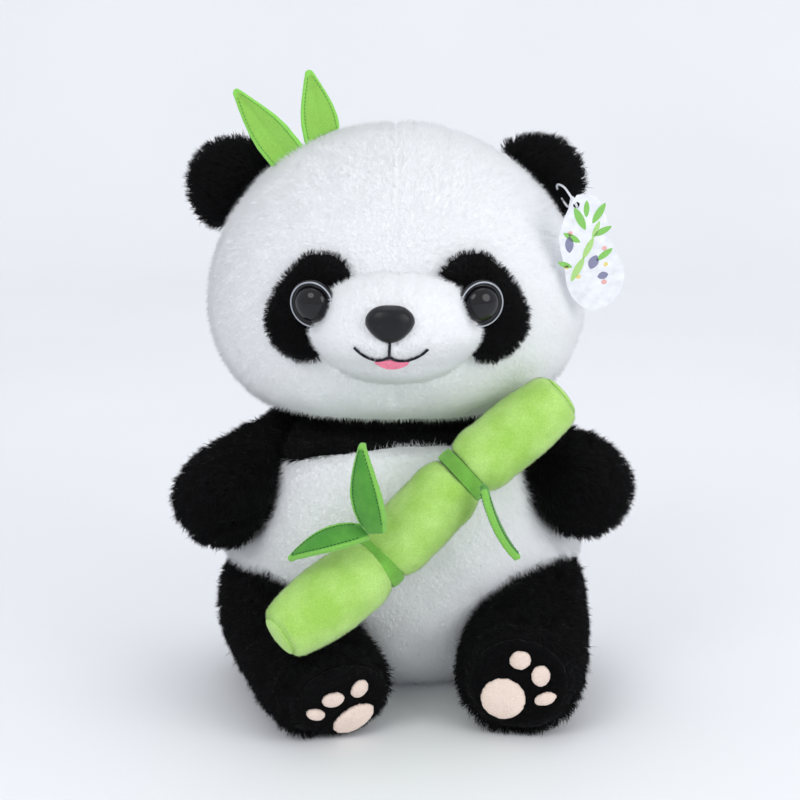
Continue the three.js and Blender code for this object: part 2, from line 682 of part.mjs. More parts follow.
sides.forEach(({ name }) => {
  const leg = new THREE.Group();
  leg.applyMatrix4(legMatrix(name));
  panda.add(leg);
  const stations = legStations(name);
  const foot = stations.at(-1);
  const spec = SOLE[name];
  const soleMatrix = new THREE.Matrix4()
    .makeRotationX(rad(spec.pitch))
    .setPosition(spec.shift[0], foot.at[1] - 2, foot.at[2] + spec.shift[1]);
  const beyond = (y) => inFrontOf(y).transform(soleMatrix.toArray());

  const inside = grown(stations, -LONG_PLUSH);
  const [rootDome] = insideDome(legDomes);
  const pocketDisc = ovalDisc(spec.across + GAP, spec.high + GAP, 12).translate(0, -3, 0);
  const pocket = solid(placed(pocketDisc, soleMatrix));
  const outer = solid(loft(stations, { sides: 14, domes: legDomes, rings: 3 })).subtract(beyond(0));
  const hollow = solid(loft(inside, { sides: 12, domes: [rootDome + 14, 2] })).subtract(beyond(6));
  const fill = solid(loft(grown(inside, -GAP), { sides: 12, domes: [rootDome, 2] }));
  const skin = outer.subtract(hollow).subtract(pocket);
  add("leg_skin_" + name, geometryOf(largest(skin)), BLACK_PILE, {}, leg);
  const stuffing = fill.subtract(beyond(6 + GAP)).subtract(pocket);
  add("leg_stuffing_" + name, geometryOf(largest(stuffing)), FIBRE, {}, leg);

  const sole = new THREE.Group();
  sole.applyMatrix4(soleMatrix);
  leg.add(sole);
  add("sole_" + name, ovalDisc(spec.across, spec.high, SHORT_PLUSH), SOLE_BLACK, {}, sole);
  PADS[name].forEach(({ pad, at, half, turn }) => {
    const piece = plate(oval(at, half, rad(turn)), PAD_THICK, 14).translate(0, -GAP, 0);
    add(pad + "_" + name, piece, PAD_PINK, {}, sole);
  });
});

// ---------- Bamboo stalk ----------
const stalkPoints = STALK_POINTS.map(place);
const AXIS = new THREE.Vector3(0, 1, 0);

// A frame whose +Y runs along the stalk.
function along(from, direction) {
  const turn = new THREE.Quaternion().setFromUnitVectors(AXIS, direction.clone().normalize());
  return new THREE.Matrix4().makeRotationFromQuaternion(turn).setPosition(from);
}

// A fleece tube, full in the middle and drawn in at each end.
function barrel(length, startGap, endGap, startRadius, endRadius, belly) {
  const inner = STALK.fillRadius + GAP;
  const [from, to] = [startGap, length - endGap];
  const swell = [0, 0, 0.62, 0.94, 1, 0.94, 0.62, 0, 0];
  const shares = [0, 0.07, 0.2, 0.34, 0.5, 0.66, 0.8, 0.93, 1];
  const outside = shares.map((t, k) => {
    const waist = THREE.MathUtils.lerp(startRadius, endRadius, t);
    return [THREE.MathUtils.lerp(waist, belly, swell[k]), from + (to - from) * t];
  });
  return turned([[inner, from], ...outside, [inner, to], [inner, from]], 14);
}
const END_GAP = 3;
const JOIN_GAP = 2.6;
const segmentNames = ["lower", "middle", "upper"];
segmentNames.forEach((name, i) => {
  const run = stalkPoints[i + 1].clone().sub(stalkPoints[i]);
  const [startGap, startRadius] = i === 0 ? [END_GAP, STALK.end] : [JOIN_GAP, STALK.waist];
  const [endGap, endRadius] = i === 2 ? [END_GAP, STALK.end] : [JOIN_GAP, STALK.waist];
  const tube = barrel(run.length(), startGap, endGap, startRadius, endRadius, STALK_BELLY[i]);
  add("stalk_segment_" + name, placed(tube, along(stalkPoints[i], run)), FLEECE_GREEN);
});
const fillAt = (k, t) => stalkPoints[k].clone().lerp(stalkPoints[k + 1], t).toArray();
const fillStations = [fillAt(0, 0.09), STALK_POINTS[1], STALK_POINTS[2], fillAt(2, 0.91)];
const fillLoft = fillStations.map((at) => ({ at, across: STALK.fillRadius, high: STALK.fillRadius }));
add("stalk_stuffing", loft(fillLoft, { sides: 12, domes: [1.2, 1.2], rings: 2 }), FIBRE);

const CAP_PROFILE = [[0, 0], [STALK.end, 0], [STALK.end - 1, 2.4], [STALK.end * 0.6, 4.6], [0, 5.6]];
[
  { name: "stalk_cap_lower", at: stalkPoints[0], next: stalkPoints[1] },
  { name: "stalk_cap_upper", at: stalkPoints[3], next: stalkPoints[2] },
].forEach(({ name, at, next }) => {
  const outwards = at.clone().sub(next).normalize();
  const seat = at.clone().addScaledVector(outwards, GAP - END_GAP);
  add(name, placed(turned(CAP_PROFILE, 16), along(seat, outwards)), FLEECE_GREEN);
});
[1, 2].forEach((k) => {
  const before = stalkPoints[k].clone().sub(stalkPoints[k - 1]).normalize();
  const after = stalkPoints[k + 1].clone().sub(stalkPoints[k]).normalize();
  const [inner, half] = [STALK.waist + 1.2, STALK.bandWidth / 2];
  const outer = inner + STALK.bandThick;
  const ring = turned([[inner, -half], [outer, -half], [outer, half], [inner, half], [inner, -half]], 20);
  const name = ["stalk_band_lower", "stalk_band_upper"][k - 1];
  add(name, placed(ring, along(stalkPoints[k], before.add(after))), BAND_GREEN);
});

const STALK_LEAVES = [
  {
    name: "stalk_leaf_upright",
    root: [-8.5, -112, 102.5],
    tip: [-14.5, -108, 141.5],
    face: [-0.4, -0.9, 0],
    width: 15,
    arch: 5,
    fold: 1.5,
  },
  {
    name: "stalk_leaf_side",
    root: [-12.5, -107, 102],
    tip: [-46.5, -108, 89.5],
    face: [0, -0.7, 0.7],
    width: 12,
    arch: 6,
    fold: 1.5,
  },
  {
    name: "stalk_leaf_hanging",
    root: [39, -99, 119.5],
    tip: [54.5, -95, 85],
    face: [0.95, 0.05, 0.3],
    width: 13,
    arch: -2,
    fold: 1.5,
  },
];
STALK_LEAVES.forEach((spec) => add(spec.name, leafOf(spec), FELT_GREEN));

// ---------- Hang tag ----------
const TAG_OUTLINE = [
  [-9, 28],
  [0, 27],
  [5, 17],
  [8, 5],
  [15, -9],
  [12, -22],
  [1, -28],
  [-9, -20],
  [-13, -5],
  [-16, 9],
  [-13, 20],
];
const tagHole = solid(new THREE.CylinderGeometry(TAG_HOLE.radius, TAG_HOLE.radius, 8, 10))
  .translate(TAG_HOLE.at[0], 0, TAG_HOLE.at[1]);
const tagCard = geometryOf(solid(plate(TAG_OUTLINE, TAG.thick, 30)).subtract(tagHole));
add("hang_tag", placed(tagCard, tagMatrix), "#f4f6f8", { roughness: 0.6 });
add("tag_loop", geometryOf(tagLoop(0)), "#e9eef0", { roughness: 0.3 });

export default panda;
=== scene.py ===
"""A sitting plush panda that holds a stuffed bamboo stalk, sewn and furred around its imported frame."""
import json
import math

import bmesh
import bpy
import numpy as np
from mathutils import Matrix, Vector, noise
from mathutils.bvhtree import BVHTree
from mathutils.kdtree import KDTree


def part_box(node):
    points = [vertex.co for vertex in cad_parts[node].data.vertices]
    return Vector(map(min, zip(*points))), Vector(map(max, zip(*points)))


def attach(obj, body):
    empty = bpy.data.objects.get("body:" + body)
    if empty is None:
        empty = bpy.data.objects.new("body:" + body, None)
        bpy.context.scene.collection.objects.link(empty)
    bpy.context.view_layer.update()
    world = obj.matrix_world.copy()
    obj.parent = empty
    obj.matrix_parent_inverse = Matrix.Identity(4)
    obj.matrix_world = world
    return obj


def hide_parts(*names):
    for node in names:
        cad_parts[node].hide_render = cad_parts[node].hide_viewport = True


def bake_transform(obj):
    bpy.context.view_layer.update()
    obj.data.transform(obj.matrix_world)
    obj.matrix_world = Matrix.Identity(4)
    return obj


bl_info = {
    "name": "Plush Panda",
    "version": (1, 0, 0),
    "blender": (4, 5, 0),
    "location": "View3D > Sidebar > Plush",
    "description": "Stuffed, sewn and furred pieces of a plush panda, with its stage",
    "category": "Object",
}

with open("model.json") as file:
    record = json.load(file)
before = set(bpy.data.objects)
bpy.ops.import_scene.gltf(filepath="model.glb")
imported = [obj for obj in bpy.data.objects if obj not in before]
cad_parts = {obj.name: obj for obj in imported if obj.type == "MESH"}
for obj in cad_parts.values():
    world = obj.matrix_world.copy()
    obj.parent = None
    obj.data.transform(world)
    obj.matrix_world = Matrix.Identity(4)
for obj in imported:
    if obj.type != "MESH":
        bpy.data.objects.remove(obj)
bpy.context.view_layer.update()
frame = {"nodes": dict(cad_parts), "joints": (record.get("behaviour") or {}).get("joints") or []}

MM = 0.001
SIDES = ("left", "right")
HEAD_PANELS = ("face_panel_left", "face_panel_right", "head_back_panel")
TORSO_WHITE = ("belly_panel", "back_panel", "seat_panel")
TORSO_BLACK = ("shoulder_yoke_front", "shoulder_yoke_back")
STALK_SEGMENTS = ("stalk_segment_lower", "stalk_segment_middle", "stalk_segment_upper")
STALK_CAPS = ("stalk_cap_lower", "stalk_cap_upper")
STALK_LEAVES = ("stalk_leaf_upright", "stalk_leaf_side", "stalk_leaf_hanging")
HEAD_LEAVES = ("head_leaf_outer", "head_leaf_inner")
PADS = ("heel_pad", "toe_pad_inner", "toe_pad_middle", "toe_pad_outer")
EYE_PATCHES = ("eye_patch_left", "eye_patch_right")
HEAD_SOLIDS = (*HEAD_PANELS, "head_stuffing")
TORSO_SOLIDS = (*TORSO_WHITE, *TORSO_BLACK, "torso_stuffing")

STUFFING_FRAMES = 20  # how long the cloth simulation runs
MOST_FACES = 190_000  # on one piece of pile
SKIN_OFF_FLOOR = 0.1 * MM
PILE_OFF_FLOOR = 0.3 * MM
SEAM_HALF = 2.5 * MM  # how far from a seam the plush is held while it is stuffed
TORSO_SEAM_Y = 6 * MM


def linear(code):
    """A hex colour as linear values from 0 to 1."""
    parts = [int(code[k : k + 2], 16) / 255 for k in (1, 3, 5)]
    return tuple(c / 12.92 if c <= 0.04045 else ((c + 0.055) / 1.055) ** 2.4 for c in parts)


def joint(name):
    """The frame's joint of that name."""
    return next(j for j in frame["joints"] if j["name"] == name)


# ---------- Properties ----------
def colour(name, description, code):
    return bpy.props.FloatVectorProperty(
        name=name, description=description, default=linear(code), size=3, min=0, max=1, subtype="COLOR"
    )


def length(name, description, millimetres):
    return bpy.props.FloatProperty(
        name=name, description=description, default=millimetres * MM, min=0, precision=4, unit="LENGTH"
    )


class PandaColours(bpy.types.PropertyGroup):
    white: colour("White Pile", "The head, belly and back", "#f4f6f8")
    black: colour("Black Pile", "The ears, eye patches, yoke and limbs", "#070709")
    sole: colour("Sole", "The short pile under the feet", "#08080a")
    pad: colour("Paw Pad", "The velour pads on the soles", "#f0dccf")
    fleece: colour("Bamboo Fleece", "The nap of the stalk where it lies flat", "#a2d25c")
    fleece_light: colour("Brushed Fleece", "The nap of the stalk where it is brushed up", "#bae47e")
    band: colour("Band", "The ribbons between the stalk's segments", "#78b84a")
    leaf: colour("Stalk Leaf", "The leaves on the stalk", "#4c9339")
    leaf_rim: colour("Leaf Rim", "The cut edges of the leaves", "#83c456")
    head_leaf: colour("Head Leaf", "The leaves on the head", "#92c858")
    thread: colour("Leaf Thread", "The stitches round the leaves", "#235a2c")
    mouth: colour("Mouth Thread", "The embroidered mouth", "#14151f")
    tongue: colour("Tongue", "The felt tongue", "#ee7f9b")
    eye: colour("Eye", "The domes of the safety eyes", "#17161b")
    ring: colour("Eye Ring", "The rings round the safety eyes", "#a9adb6")
    nose: colour("Nose", "The moulded nose", "#24262e")
    card: colour("Card", "The hang tag", "#eef0f6")


class PandaSizes(bpy.types.PropertyGroup):
    white_pile: length("White Pile", "The white pile's depth, which sets its skin in", 3.2)
    black_pile: length("Black Pile", "The black pile's depth, which sets its skin in", 4.2)
    face_pile: length("Face Pile", "The depth of the pile on the muzzle and the eye patches", 2.2)
    hair: length("Hair Radius", "The radius of a lock of pile at its root", 0.17)
    swell: length("Swell", "The furthest that stuffing pushes a panel out", 2.0)
    seam: length("Seam Depth", "How deep a seam sinks into the plush", 1.1)
    pressure: bpy.props.FloatProperty(
        name="Stuffing Pressure", description="How tightly the plush is stuffed", default=4.0, min=0
    )
    white_density: bpy.props.FloatProperty(
        name="White Locks", description="Locks of white pile on a square millimetre", default=1.7, min=0
    )
    black_density: bpy.props.FloatProperty(
        name="Black Locks", description="Locks of black pile on a square millimetre", default=1.25, min=0
    )


def colours():
    return bpy.context.scene.panda_colours


def sizes():
    return bpy.context.scene.panda_sizes


# ---------- Meshes ----------
def link(name, data):
    """A new object in the scene."""
    made = bpy.data.objects.new(name, data)
    bpy.context.scene.collection.objects.link(made)
    return made


def points_of(mesh):
    places = np.empty(len(mesh.vertices) * 3, np.float32)
    mesh.vertices.foreach_get("co", places)
    return places.reshape(-1, 3).astype(float)


def put_points(mesh, places):
    mesh.vertices.foreach_set("co", np.asarray(places, np.float32).ravel())
    mesh.update()


def normals_of(mesh):
    normals = np.empty(len(mesh.vertices) * 3, np.float32)
    mesh.vertex_normals.foreach_get("vector", normals)
    return normals.reshape(-1, 3).astype(float)


def unit(vectors):
    size = np.linalg.norm(vectors, axis=-1, keepdims=True)
    return vectors / np.maximum(size, 1e-12)


def mesh_of(name, vertices, faces, smooth=True):
    mesh = bpy.data.meshes.new(name)
    mesh.from_pydata([tuple(v) for v in vertices], [], faces)
    if smooth:
        mesh.shade_smooth()
    mesh.update()
    return mesh


def closed_piece(name, vertices, faces, smooth=True):
    """A new piece of closed shapes, with their faces turned outwards."""
    mesh = mesh_of(name, vertices, faces, smooth)
    shape = bmesh.new()
    shape.from_mesh(mesh)
    bmesh.ops.recalc_face_normals(shape, faces=shape.faces)
    shape.to_mesh(mesh)
    shape.free()
    return link(name, mesh)


def settle(piece):
    """Applies the piece's modifiers."""
    graph = bpy.context.evaluated_depsgraph_get()
    mesh = bpy.data.meshes.new_from_object(piece.evaluated_get(graph))
    piece.modifiers.clear()
    piece.data = mesh
    mesh.shade_smooth()


def keep_largest(mesh):
    """Leaves only the part of the mesh with the most points."""
    shape = bmesh.new()
    shape.from_mesh(mesh)
    left = set(shape.verts)
    islands = []
    while left:
        reached = [left.pop()]
        island = list(reached)
        while reached:
            for edge in reached.pop().link_edges:
                for vert in edge.verts:
                    if vert in left:
                        left.remove(vert)
                        reached.append(vert)
                        island.append(vert)
        islands.append(island)
    islands.sort(key=len)
    for island in islands[:-1]:
        bmesh.ops.delete(shape, geom=island, context="VERTS")
    shape.to_mesh(mesh)
    shape.free()


def blank(name, nodes, voxel, hull=False, relaxed=8):
    """One closed skin round these nodes, of even quads about a voxel wide. A hull has no hollows."""
    joined = bmesh.new()
    if hull:
        for node in nodes:
            for vertex in frame["nodes"][node].data.vertices:
                joined.verts.new(vertex.co)
        made = bmesh.ops.convex_hull(joined, input=joined.verts)
        inner = made["geom_interior"] + made["geom_unused"]
        spare = {v for v in inner if isinstance(v, bmesh.types.BMVert)}
        bmesh.ops.delete(joined, geom=list(spare), context="VERTS")
    else:
        for node in nodes:
            joined.from_mesh(frame["nodes"][node].data)
    mesh = bpy.data.meshes.new(name)
    joined.to_mesh(mesh)
    joined.free()
    piece = link(name, mesh)
    remesh = piece.modifiers.new("Even", "REMESH")
    remesh.mode = "VOXEL"
    remesh.voxel_size = voxel
    settle(piece)
    keep_largest(piece.data)
    relax(piece.data, relaxed)
    return piece


def relax(mesh, times, share=0.5, where=None):
    """Moves each point towards the middle of its neighbours."""
    edges = np.empty(len(mesh.edges) * 2, np.int32)
    mesh.edges.foreach_get("vertices", edges)
    a, b = edges.reshape(-1, 2).T
    places = points_of(mesh)
    count = len(places)
    degree = np.maximum(np.bincount(a, minlength=count) + np.bincount(b, minlength=count), 1)
    weight = share if where is None else share * where[:, None]
    for _ in range(times):
        sums = [np.bincount(a, places[b, k], count) + np.bincount(b, places[a, k], count) for k in range(3)]
        places += (np.stack(sums, 1) / degree[:, None] - places) * weight
    put_points(mesh, places)


def swell(piece, distance):
    """Moves each point along its normal, by one distance or by its own."""
    distance = np.broadcast_to(distance, len(piece.data.vertices))
    put_points(piece.data, points_of(piece.data) + normals_of(piece.data) * distance[:, None])


def stuff(piece, sewn, cap):
    """Inflates the piece as stuffing does. Sewn points stay, and none moves further than the cap."""
    before = points_of(piece.data)
    group = piece.vertex_groups.new(name="sewn")
    group.add([int(i) for i in np.flatnonzero(sewn)], 1.0, "REPLACE")
    cloth = piece.modifiers.new("Stuffing", "CLOTH")
    cloth.settings.use_pressure = True
    cloth.settings.uniform_pressure_force = sizes().pressure
    cloth.settings.effector_weights.gravity = 0
    cloth.settings.vertex_group_mass = "sewn"
    cloth.collision_settings.use_collision = False
    cloth.point_cache.frame_start = 1
    cloth.point_cache.frame_end = STUFFING_FRAMES
    scene = bpy.context.scene
    for number in range(1, STUFFING_FRAMES + 1):
        scene.frame_set(number)
    graph = bpy.context.evaluated_depsgraph_get()
    after = points_of(piece.evaluated_get(graph).data)
    piece.modifiers.clear()
    piece.vertex_groups.clear()
    scene.frame_set(1)
    moved = after - before
    far = np.maximum(np.linalg.norm(moved, axis=1, keepdims=True), 1e-9)
    put_points(piece.data, before + moved * np.minimum(1, cap / far))
    relax(piece.data, 2)


def finer(piece):
    """Subdivides the piece once."""
    piece.modifiers.new("Finer", "SUBSURF").levels = 1
    settle(piece)


def sink(piece, distance, depth, width):
    """Sinks a groove into the piece where the distance of its points from a line is near nought."""
    swell(piece, -depth * np.exp(-((distance / width) ** 2)))


def tufts(piece, height, size, seed):
    """Uneven pile: soft bumps about as wide as the size."""
    shift = Vector((seed, 2 * seed, -seed))
    bumps = [noise.noise(Vector(p) / size + shift) for p in points_of(piece.data)]
    swell(piece, height * np.array(bumps))


def tree_of(piece):
    polygons = [tuple(p.vertices) for p in piece.data.polygons]
    return BVHTree.FromPolygons([Vector(p) for p in points_of(piece.data)], polygons)


def node_tree(node):
    return tree_of(frame["nodes"][node])


def depth_in(tree, places, reach=0.06):
    """How far each place is inside a closed surface. Outside it the value is below nought."""
    depths = np.full(len(places), -reach)
    for i, place in enumerate(places):
        spot, normal, _, far = tree.find_nearest(Vector(place), reach)
        if spot is not None:
            inside = (Vector(place) - spot).dot(normal) < 0
            depths[i] = far if inside else -far
    return depths


def make_room(piece, tree, clear):
    """Presses the piece in where another piece lies in it."""
    places = points_of(piece.data)
    normals = normals_of(piece.data)
    inside = depth_in(tree, places) > -clear
    pressed = np.zeros(len(places))
    for i in np.flatnonzero(inside):
        start = Vector(places[i] + normals[i] * clear)
        hit, _, _, _ = tree.ray_cast(start, Vector(-normals[i]), 0.08)
        if hit is not None:
            places[i] = np.array(hit) - normals[i] * clear
            pressed[i] = 1
    put_points(piece.data, places)
    relax(piece.data, 4, where=pressed)


# ---------- Pile ----------
def surface_sample(mesh, count, rng):
    """Random places spread evenly over the mesh, with the normal at each."""
    mesh.calc_loop_triangles()
    corners = np.empty(len(mesh.loop_triangles) * 3, np.int32)
    mesh.loop_triangles.foreach_get("vertices", corners)
    corners = corners.reshape(-1, 3)
    places, normals = points_of(mesh), normals_of(mesh)
    a, b, c = (places[corners[:, k]] for k in range(3))
    areas = np.linalg.norm(np.cross(b - a, c - a), axis=1) / 2
    picked = rng.choice(len(corners), count, p=areas / areas.sum())
    u, v = np.sqrt(rng.random(count)), rng.random(count)
    shares = np.stack([1 - u, u * (1 - v), u * v], 1)[:, :, None]
    return (places[corners[picked]] * shares).sum(1), unit((normals[corners[picked]] * shares).sum(1))


def area_of(mesh):
    return sum(p.area for p in mesh.polygons)


def gather(roots, tips, rng, spacing, pull):
    """Draws the tips of neighbouring locks together."""
    count = len(roots)
    leaders = rng.choice(count, max(1, int(count * spacing)), replace=False)
    near = KDTree(len(leaders))
    for i, leader in enumerate(leaders):
        near.insert(Vector(roots[leader]), i)
    near.balance()
    mine = leaders[[near.find(Vector(root))[1] for root in roots]]
    follow = pull * rng.random((count, 1))
    centre = tips[mine]
    return tips + (centre - tips) * follow


def lock_mesh(name, roots, middles, tips, radius, normals, tones):
    """Closed three-sided locks, as one mesh. Each is shaded as the plush under it is."""
    count = len(roots)
    along = unit(tips - roots)
    across = unit(np.cross(along, normals + 0.3 * np.roll(along, 1, axis=1)))
    other = np.cross(along, across)
    turns = [math.tau * k / 3 for k in range(3)]
    around = [math.cos(t) * across + math.sin(t) * other for t in turns]
    low = [roots + radius[:, None] * a for a in around]
    if middles is None:
        places = np.stack([*low, tips], 1)
        shape = [(0, 2, 1), (0, 1, 3), (1, 2, 3), (2, 0, 3)]
    else:
        high = [middles + 0.7 * radius[:, None] * a for a in around]
        places = np.stack([*low, *high, tips], 1)
        shape = [(0, 2, 1), (0, 1, 4), (0, 4, 3), (1, 2, 5), (1, 5, 4), (2, 0, 3), (2, 3, 5)]
        shape += [(3, 4, 6), (4, 5, 6), (5, 3, 6)]
    each = places.shape[1]
    faces = (np.array(shape)[None] + (np.arange(count) * each)[:, None, None]).reshape(-1, 3)
    mesh = bpy.data.meshes.new(name)
    mesh.vertices.add(count * each)
    mesh.vertices.foreach_set("co", places.astype(np.float32).ravel())
    mesh.loops.add(len(faces) * 3)
    mesh.loops.foreach_set("vertex_index", faces.astype(np.int32).ravel())
    mesh.polygons.add(len(faces))
    mesh.polygons.foreach_set("loop_start", np.arange(0, len(faces) * 3, 3, dtype=np.int32))
    mesh.polygons.foreach_set("material_index", np.repeat(tones, len(shape)).astype(np.int32))
    mesh.update(calc_edges=True)
    mesh.shade_smooth()
    mesh.normals_split_custom_set_from_vertices(np.repeat(normals, each, axis=0))
    return mesh


def pile(name, base, spec, tones, seed, comb=None, keep=None, covers=()):
    """Plants locks of pile on the base, and leaves out those that are hidden in the covers.

    The spec says how many locks stand on a square millimetre, how long they are, how far they lean, stray
    and are drawn together, and the share of each tone. Comb gives the way that the pile is brushed at each
    place, and keep says which places have it. A cover is a search tree, and the height over the base at
    which a lock has to be clear of it."""
    rng = np.random.default_rng(seed)
    count = int(area_of(base.data) / MM**2 * spec["density"])
    roots, normals = surface_sample(base.data, count, rng)
    kept = np.ones(count, bool) if keep is None else keep(roots, normals)
    for tree, margin in covers:
        kept[kept] = depth_in(tree, roots[kept] + normals[kept] * margin, 0.02) < 0
    roots, normals = roots[kept], normals[kept]
    count = len(roots)
    brushed = rng.normal(size=(count, 3)) * 0.3
    if comb is not None:
        brushed = brushed + comb(roots, normals)
    brushed -= normals * (brushed * normals).sum(1, keepdims=True)
    way = unit(normals + spec["lean"] * brushed + rng.normal(size=(count, 3)) * spec["stray"])
    reach = spec["length"] * rng.uniform(0.65, 1.15, count)
    flyaway = rng.random(count) < spec.get("flyaways", 0)
    reach = np.where(flyaway, reach * rng.uniform(1.2, 1.5, count), reach)
    tips = roots + way * reach[:, None]
    tips = gather(roots, tips, rng, spec.get("spacing", 0.08), spec.get("pull", 0.35))
    for places in (roots, tips):
        places[:, 2] = np.maximum(places[:, 2], PILE_OFF_FLOOR)
    middles = None
    if spec.get("curved"):
        middles = (roots + tips) / 2 + normals * (reach * 0.12)[:, None]
    radius = sizes().hair * spec.get("thick", 1) * rng.uniform(0.75, 1.2, count)
    shaded = unit(normals + way * spec.get("gleam", 0.25))
    tone = rng.choice(len(tones), count, p=spec.get("mix", [1 / len(tones)] * len(tones)))
    per_lock = 10 if spec.get("curved") else 4
    parts = math.ceil(count * per_lock / MOST_FACES)
    order = np.array_split(np.argsort(roots[:, 0]), parts)
    made = []
    for number, chosen in enumerate(order):
        part = name if parts == 1 else f"{name}_{number + 1}"
        middle = None if middles is None else middles[chosen]
        picked = (values[chosen] for values in (tips, radius, shaded, tone))
        mesh = lock_mesh(part, roots[chosen], middle, *picked)
        for tone_made in tones:
            mesh.materials.append(tone_made)
        made.append(link(part, mesh))
    return made


# ---------- Materials ----------
def feed(tree, sockets, values):
    """Links each value that is a socket to its input, and sets the others."""
    for name, value in values.items():
        if isinstance(value, bpy.types.NodeSocket):
            tree.links.new(value, sockets[name])
        else:
            sockets[name].default_value = value


def node(tree, kind, inputs=None, **settings):
    """Adds a node with these settings and inputs."""
    made = tree.nodes.new(kind)
    for key, value in settings.items():
        setattr(made, key, value)
    feed(tree, made.inputs, inputs or {})
    return made


def mixed(tree, share, a, b):
    """The colour between a and b. The Mix node's colour inputs are told apart by number only."""
    return node(tree, "ShaderNodeMix", {0: share, 6: a, 7: b}, data_type="RGBA").outputs[2]


def between(tree, value, low, high, to_low=0.0, to_high=1.0):
    """The value, carried from one range to another."""
    ranges = {"Value": value, "From Min": low, "From Max": high, "To Min": to_low, "To Max": to_high}
    return node(tree, "ShaderNodeMapRange", ranges).outputs["Result"]


def scaled(tree, shade, factor):
    """The colour, darkened or lightened by a factor that changes over the surface."""
    return node(tree, "ShaderNodeVectorMath", {0: shade, "Scale": factor}, operation="SCALE").outputs[0]


def patches(tree, size, detail=2.0):
    """Noise whose patches are about as wide as the size, which is a value or a socket, in metres."""
    place = node(tree, "ShaderNodeTexCoord").outputs["Object"]
    scale = node(tree, "ShaderNodeMath", {0: 1.0, 1: size}, operation="DIVIDE").outputs[0]
    noisy = {"Vector": place, "Scale": scale, "Detail": detail}
    return node(tree, "ShaderNodeTexNoise", noisy).outputs["Fac"]


def shader_group(name, fill, given, results):
    """The node group of that name, which fill builds the first time. A tuple stands for a colour."""
    tree = bpy.data.node_groups.get(name)
    if tree is None:
        tree = bpy.data.node_groups.new(name, "ShaderNodeTree")
        for socket, value in given.items():
            kind = "NodeSocketColor" if isinstance(value, tuple) else "NodeSocketFloat"
            tree.interface.new_socket(socket, in_out="INPUT", socket_type=kind).default_value = value
        for socket in results:
            kind = "NodeSocketColor" if socket == "Colour" else "NodeSocketFloat"
            tree.interface.new_socket(socket, in_out="OUTPUT", socket_type=kind)
        found = fill(tree, node(tree, "NodeGroupInput").outputs)
        feed(tree, node(tree, "NodeGroupOutput").inputs, found)
    return tree


WHITE = (1, 1, 1, 1)


def pile_group():
    """Pile that lies in locks: uneven in tone, and darker down between the locks, where the root colour is a
    painted shade.
    """

    def fill(tree, given):
        depth = between(tree, patches(tree, given["Lock Size"], 3), 0.32, 0.62)
        tone = mixed(tree, depth, given["Shaded Root"], given["Tip"])
        # In random patches more of the painted root shade shows through.
        patch_mix = between(tree, patches(tree, given["Patch Size"]), 0.35, 0.75, 0, 0.35)
        return {"Colour": mixed(tree, patch_mix, tone, given["Shaded Root"]), "Height": depth}

    given = {"Tip": WHITE, "Shaded Root": WHITE, "Lock Size": 0.002, "Patch Size": 0.02}
    return shader_group("Brushed Pile", fill, given, ("Colour", "Height"))


def nap_group():
    """Velour whose nap is brushed up in soft clouds."""

    def fill(tree, given):
        fibre = patches(tree, given["Fibre Size"])
        brushed = between(tree, patches(tree, given["Cloud Size"], 3), 0.36, 0.66)
        tone = mixed(tree, brushed, given["Flat"], given["Brushed"])
        shaded = scaled(tree, tone, between(tree, fibre, 0.3, 0.7, 0.86, 1.06))
        rough = between(tree, brushed, 0, 1, 0.82, 0.98)
        return {"Colour": shaded, "Height": fibre, "Roughness": rough}

    given = {"Flat": WHITE, "Brushed": WHITE, "Cloud Size": 0.02, "Fibre Size": 0.0006}
    return shader_group("Velour Nap", fill, given, ("Colour", "Height", "Roughness"))


def felt_group():
    """Cloth with a rim of another colour, and fibres that lie every way."""

    def fill(tree, given):
        fibre = patches(tree, given["Fibre Size"], 4)
        patch_mix = between(tree, patches(tree, 0.009), 0.35, 0.7, 0, 0.22)
        face = mixed(tree, patch_mix, given["Face"], given["Rim"])
        tone = mixed(tree, given["Rim Share"], face, given["Rim"])
        shaded = scaled(tree, tone, between(tree, fibre, 0.3, 0.7, 0.86, 1.08))
        return {"Colour": shaded, "Height": fibre}

    given = {"Face": WHITE, "Rim": WHITE, "Rim Share": 0.0, "Fibre Size": 0.0005}
    return shader_group("Felt Fibre", fill, given, ("Colour", "Height"))


def grain_group():
    """Moulded plastic: a fine grain, and faint smears in its gloss."""

    def fill(tree, given):
        smear = patches(tree, 0.004, 3)
        rough = node(tree, "ShaderNodeMath", {0: given["Smear"], 1: smear}, operation="MULTIPLY").outputs[0]
        rough = node(tree, "ShaderNodeMath", {0: given["Gloss"], 1: rough}, operation="ADD").outputs[0]
        shaded = scaled(tree, given["Colour"], between(tree, smear, 0.3, 0.7, 0.92, 1.1))
        return {"Colour": shaded, "Roughness": rough, "Height": patches(tree, given["Grain Size"])}

    given = {"Colour": WHITE, "Gloss": 0.2, "Smear": 0.1, "Grain Size": 0.0005}
    return shader_group("Moulded Grain", fill, given, ("Colour", "Roughness", "Height"))


def material(name, build, *details):
    """The material of that name. Build gives its shader's inputs the first time."""
    found = bpy.data.materials.get(name)
    if found is None:
        found = bpy.data.materials.new(name)
        found.use_nodes = True
        tree = found.node_tree
        shader = next(n for n in tree.nodes if n.type == "BSDF_PRINCIPLED")
        feed(tree, shader.inputs, build(tree, *details))
    return found


def opaque(values, factor=1.0):
    return (*[min(1.0, v * factor) for v in values], 1.0)


def effect(tree, group, given):
    """The outputs of a group, placed in a material with its own values."""
    return node(tree, "ShaderNodeGroup", given, node_tree=group).outputs


def bumped(tree, height, strength, distance):
    """The normal of a surface that is raised by the height."""
    raised = {"Height": height, "Strength": strength, "Distance": distance}
    return node(tree, "ShaderNodeBump", raised).outputs["Normal"]


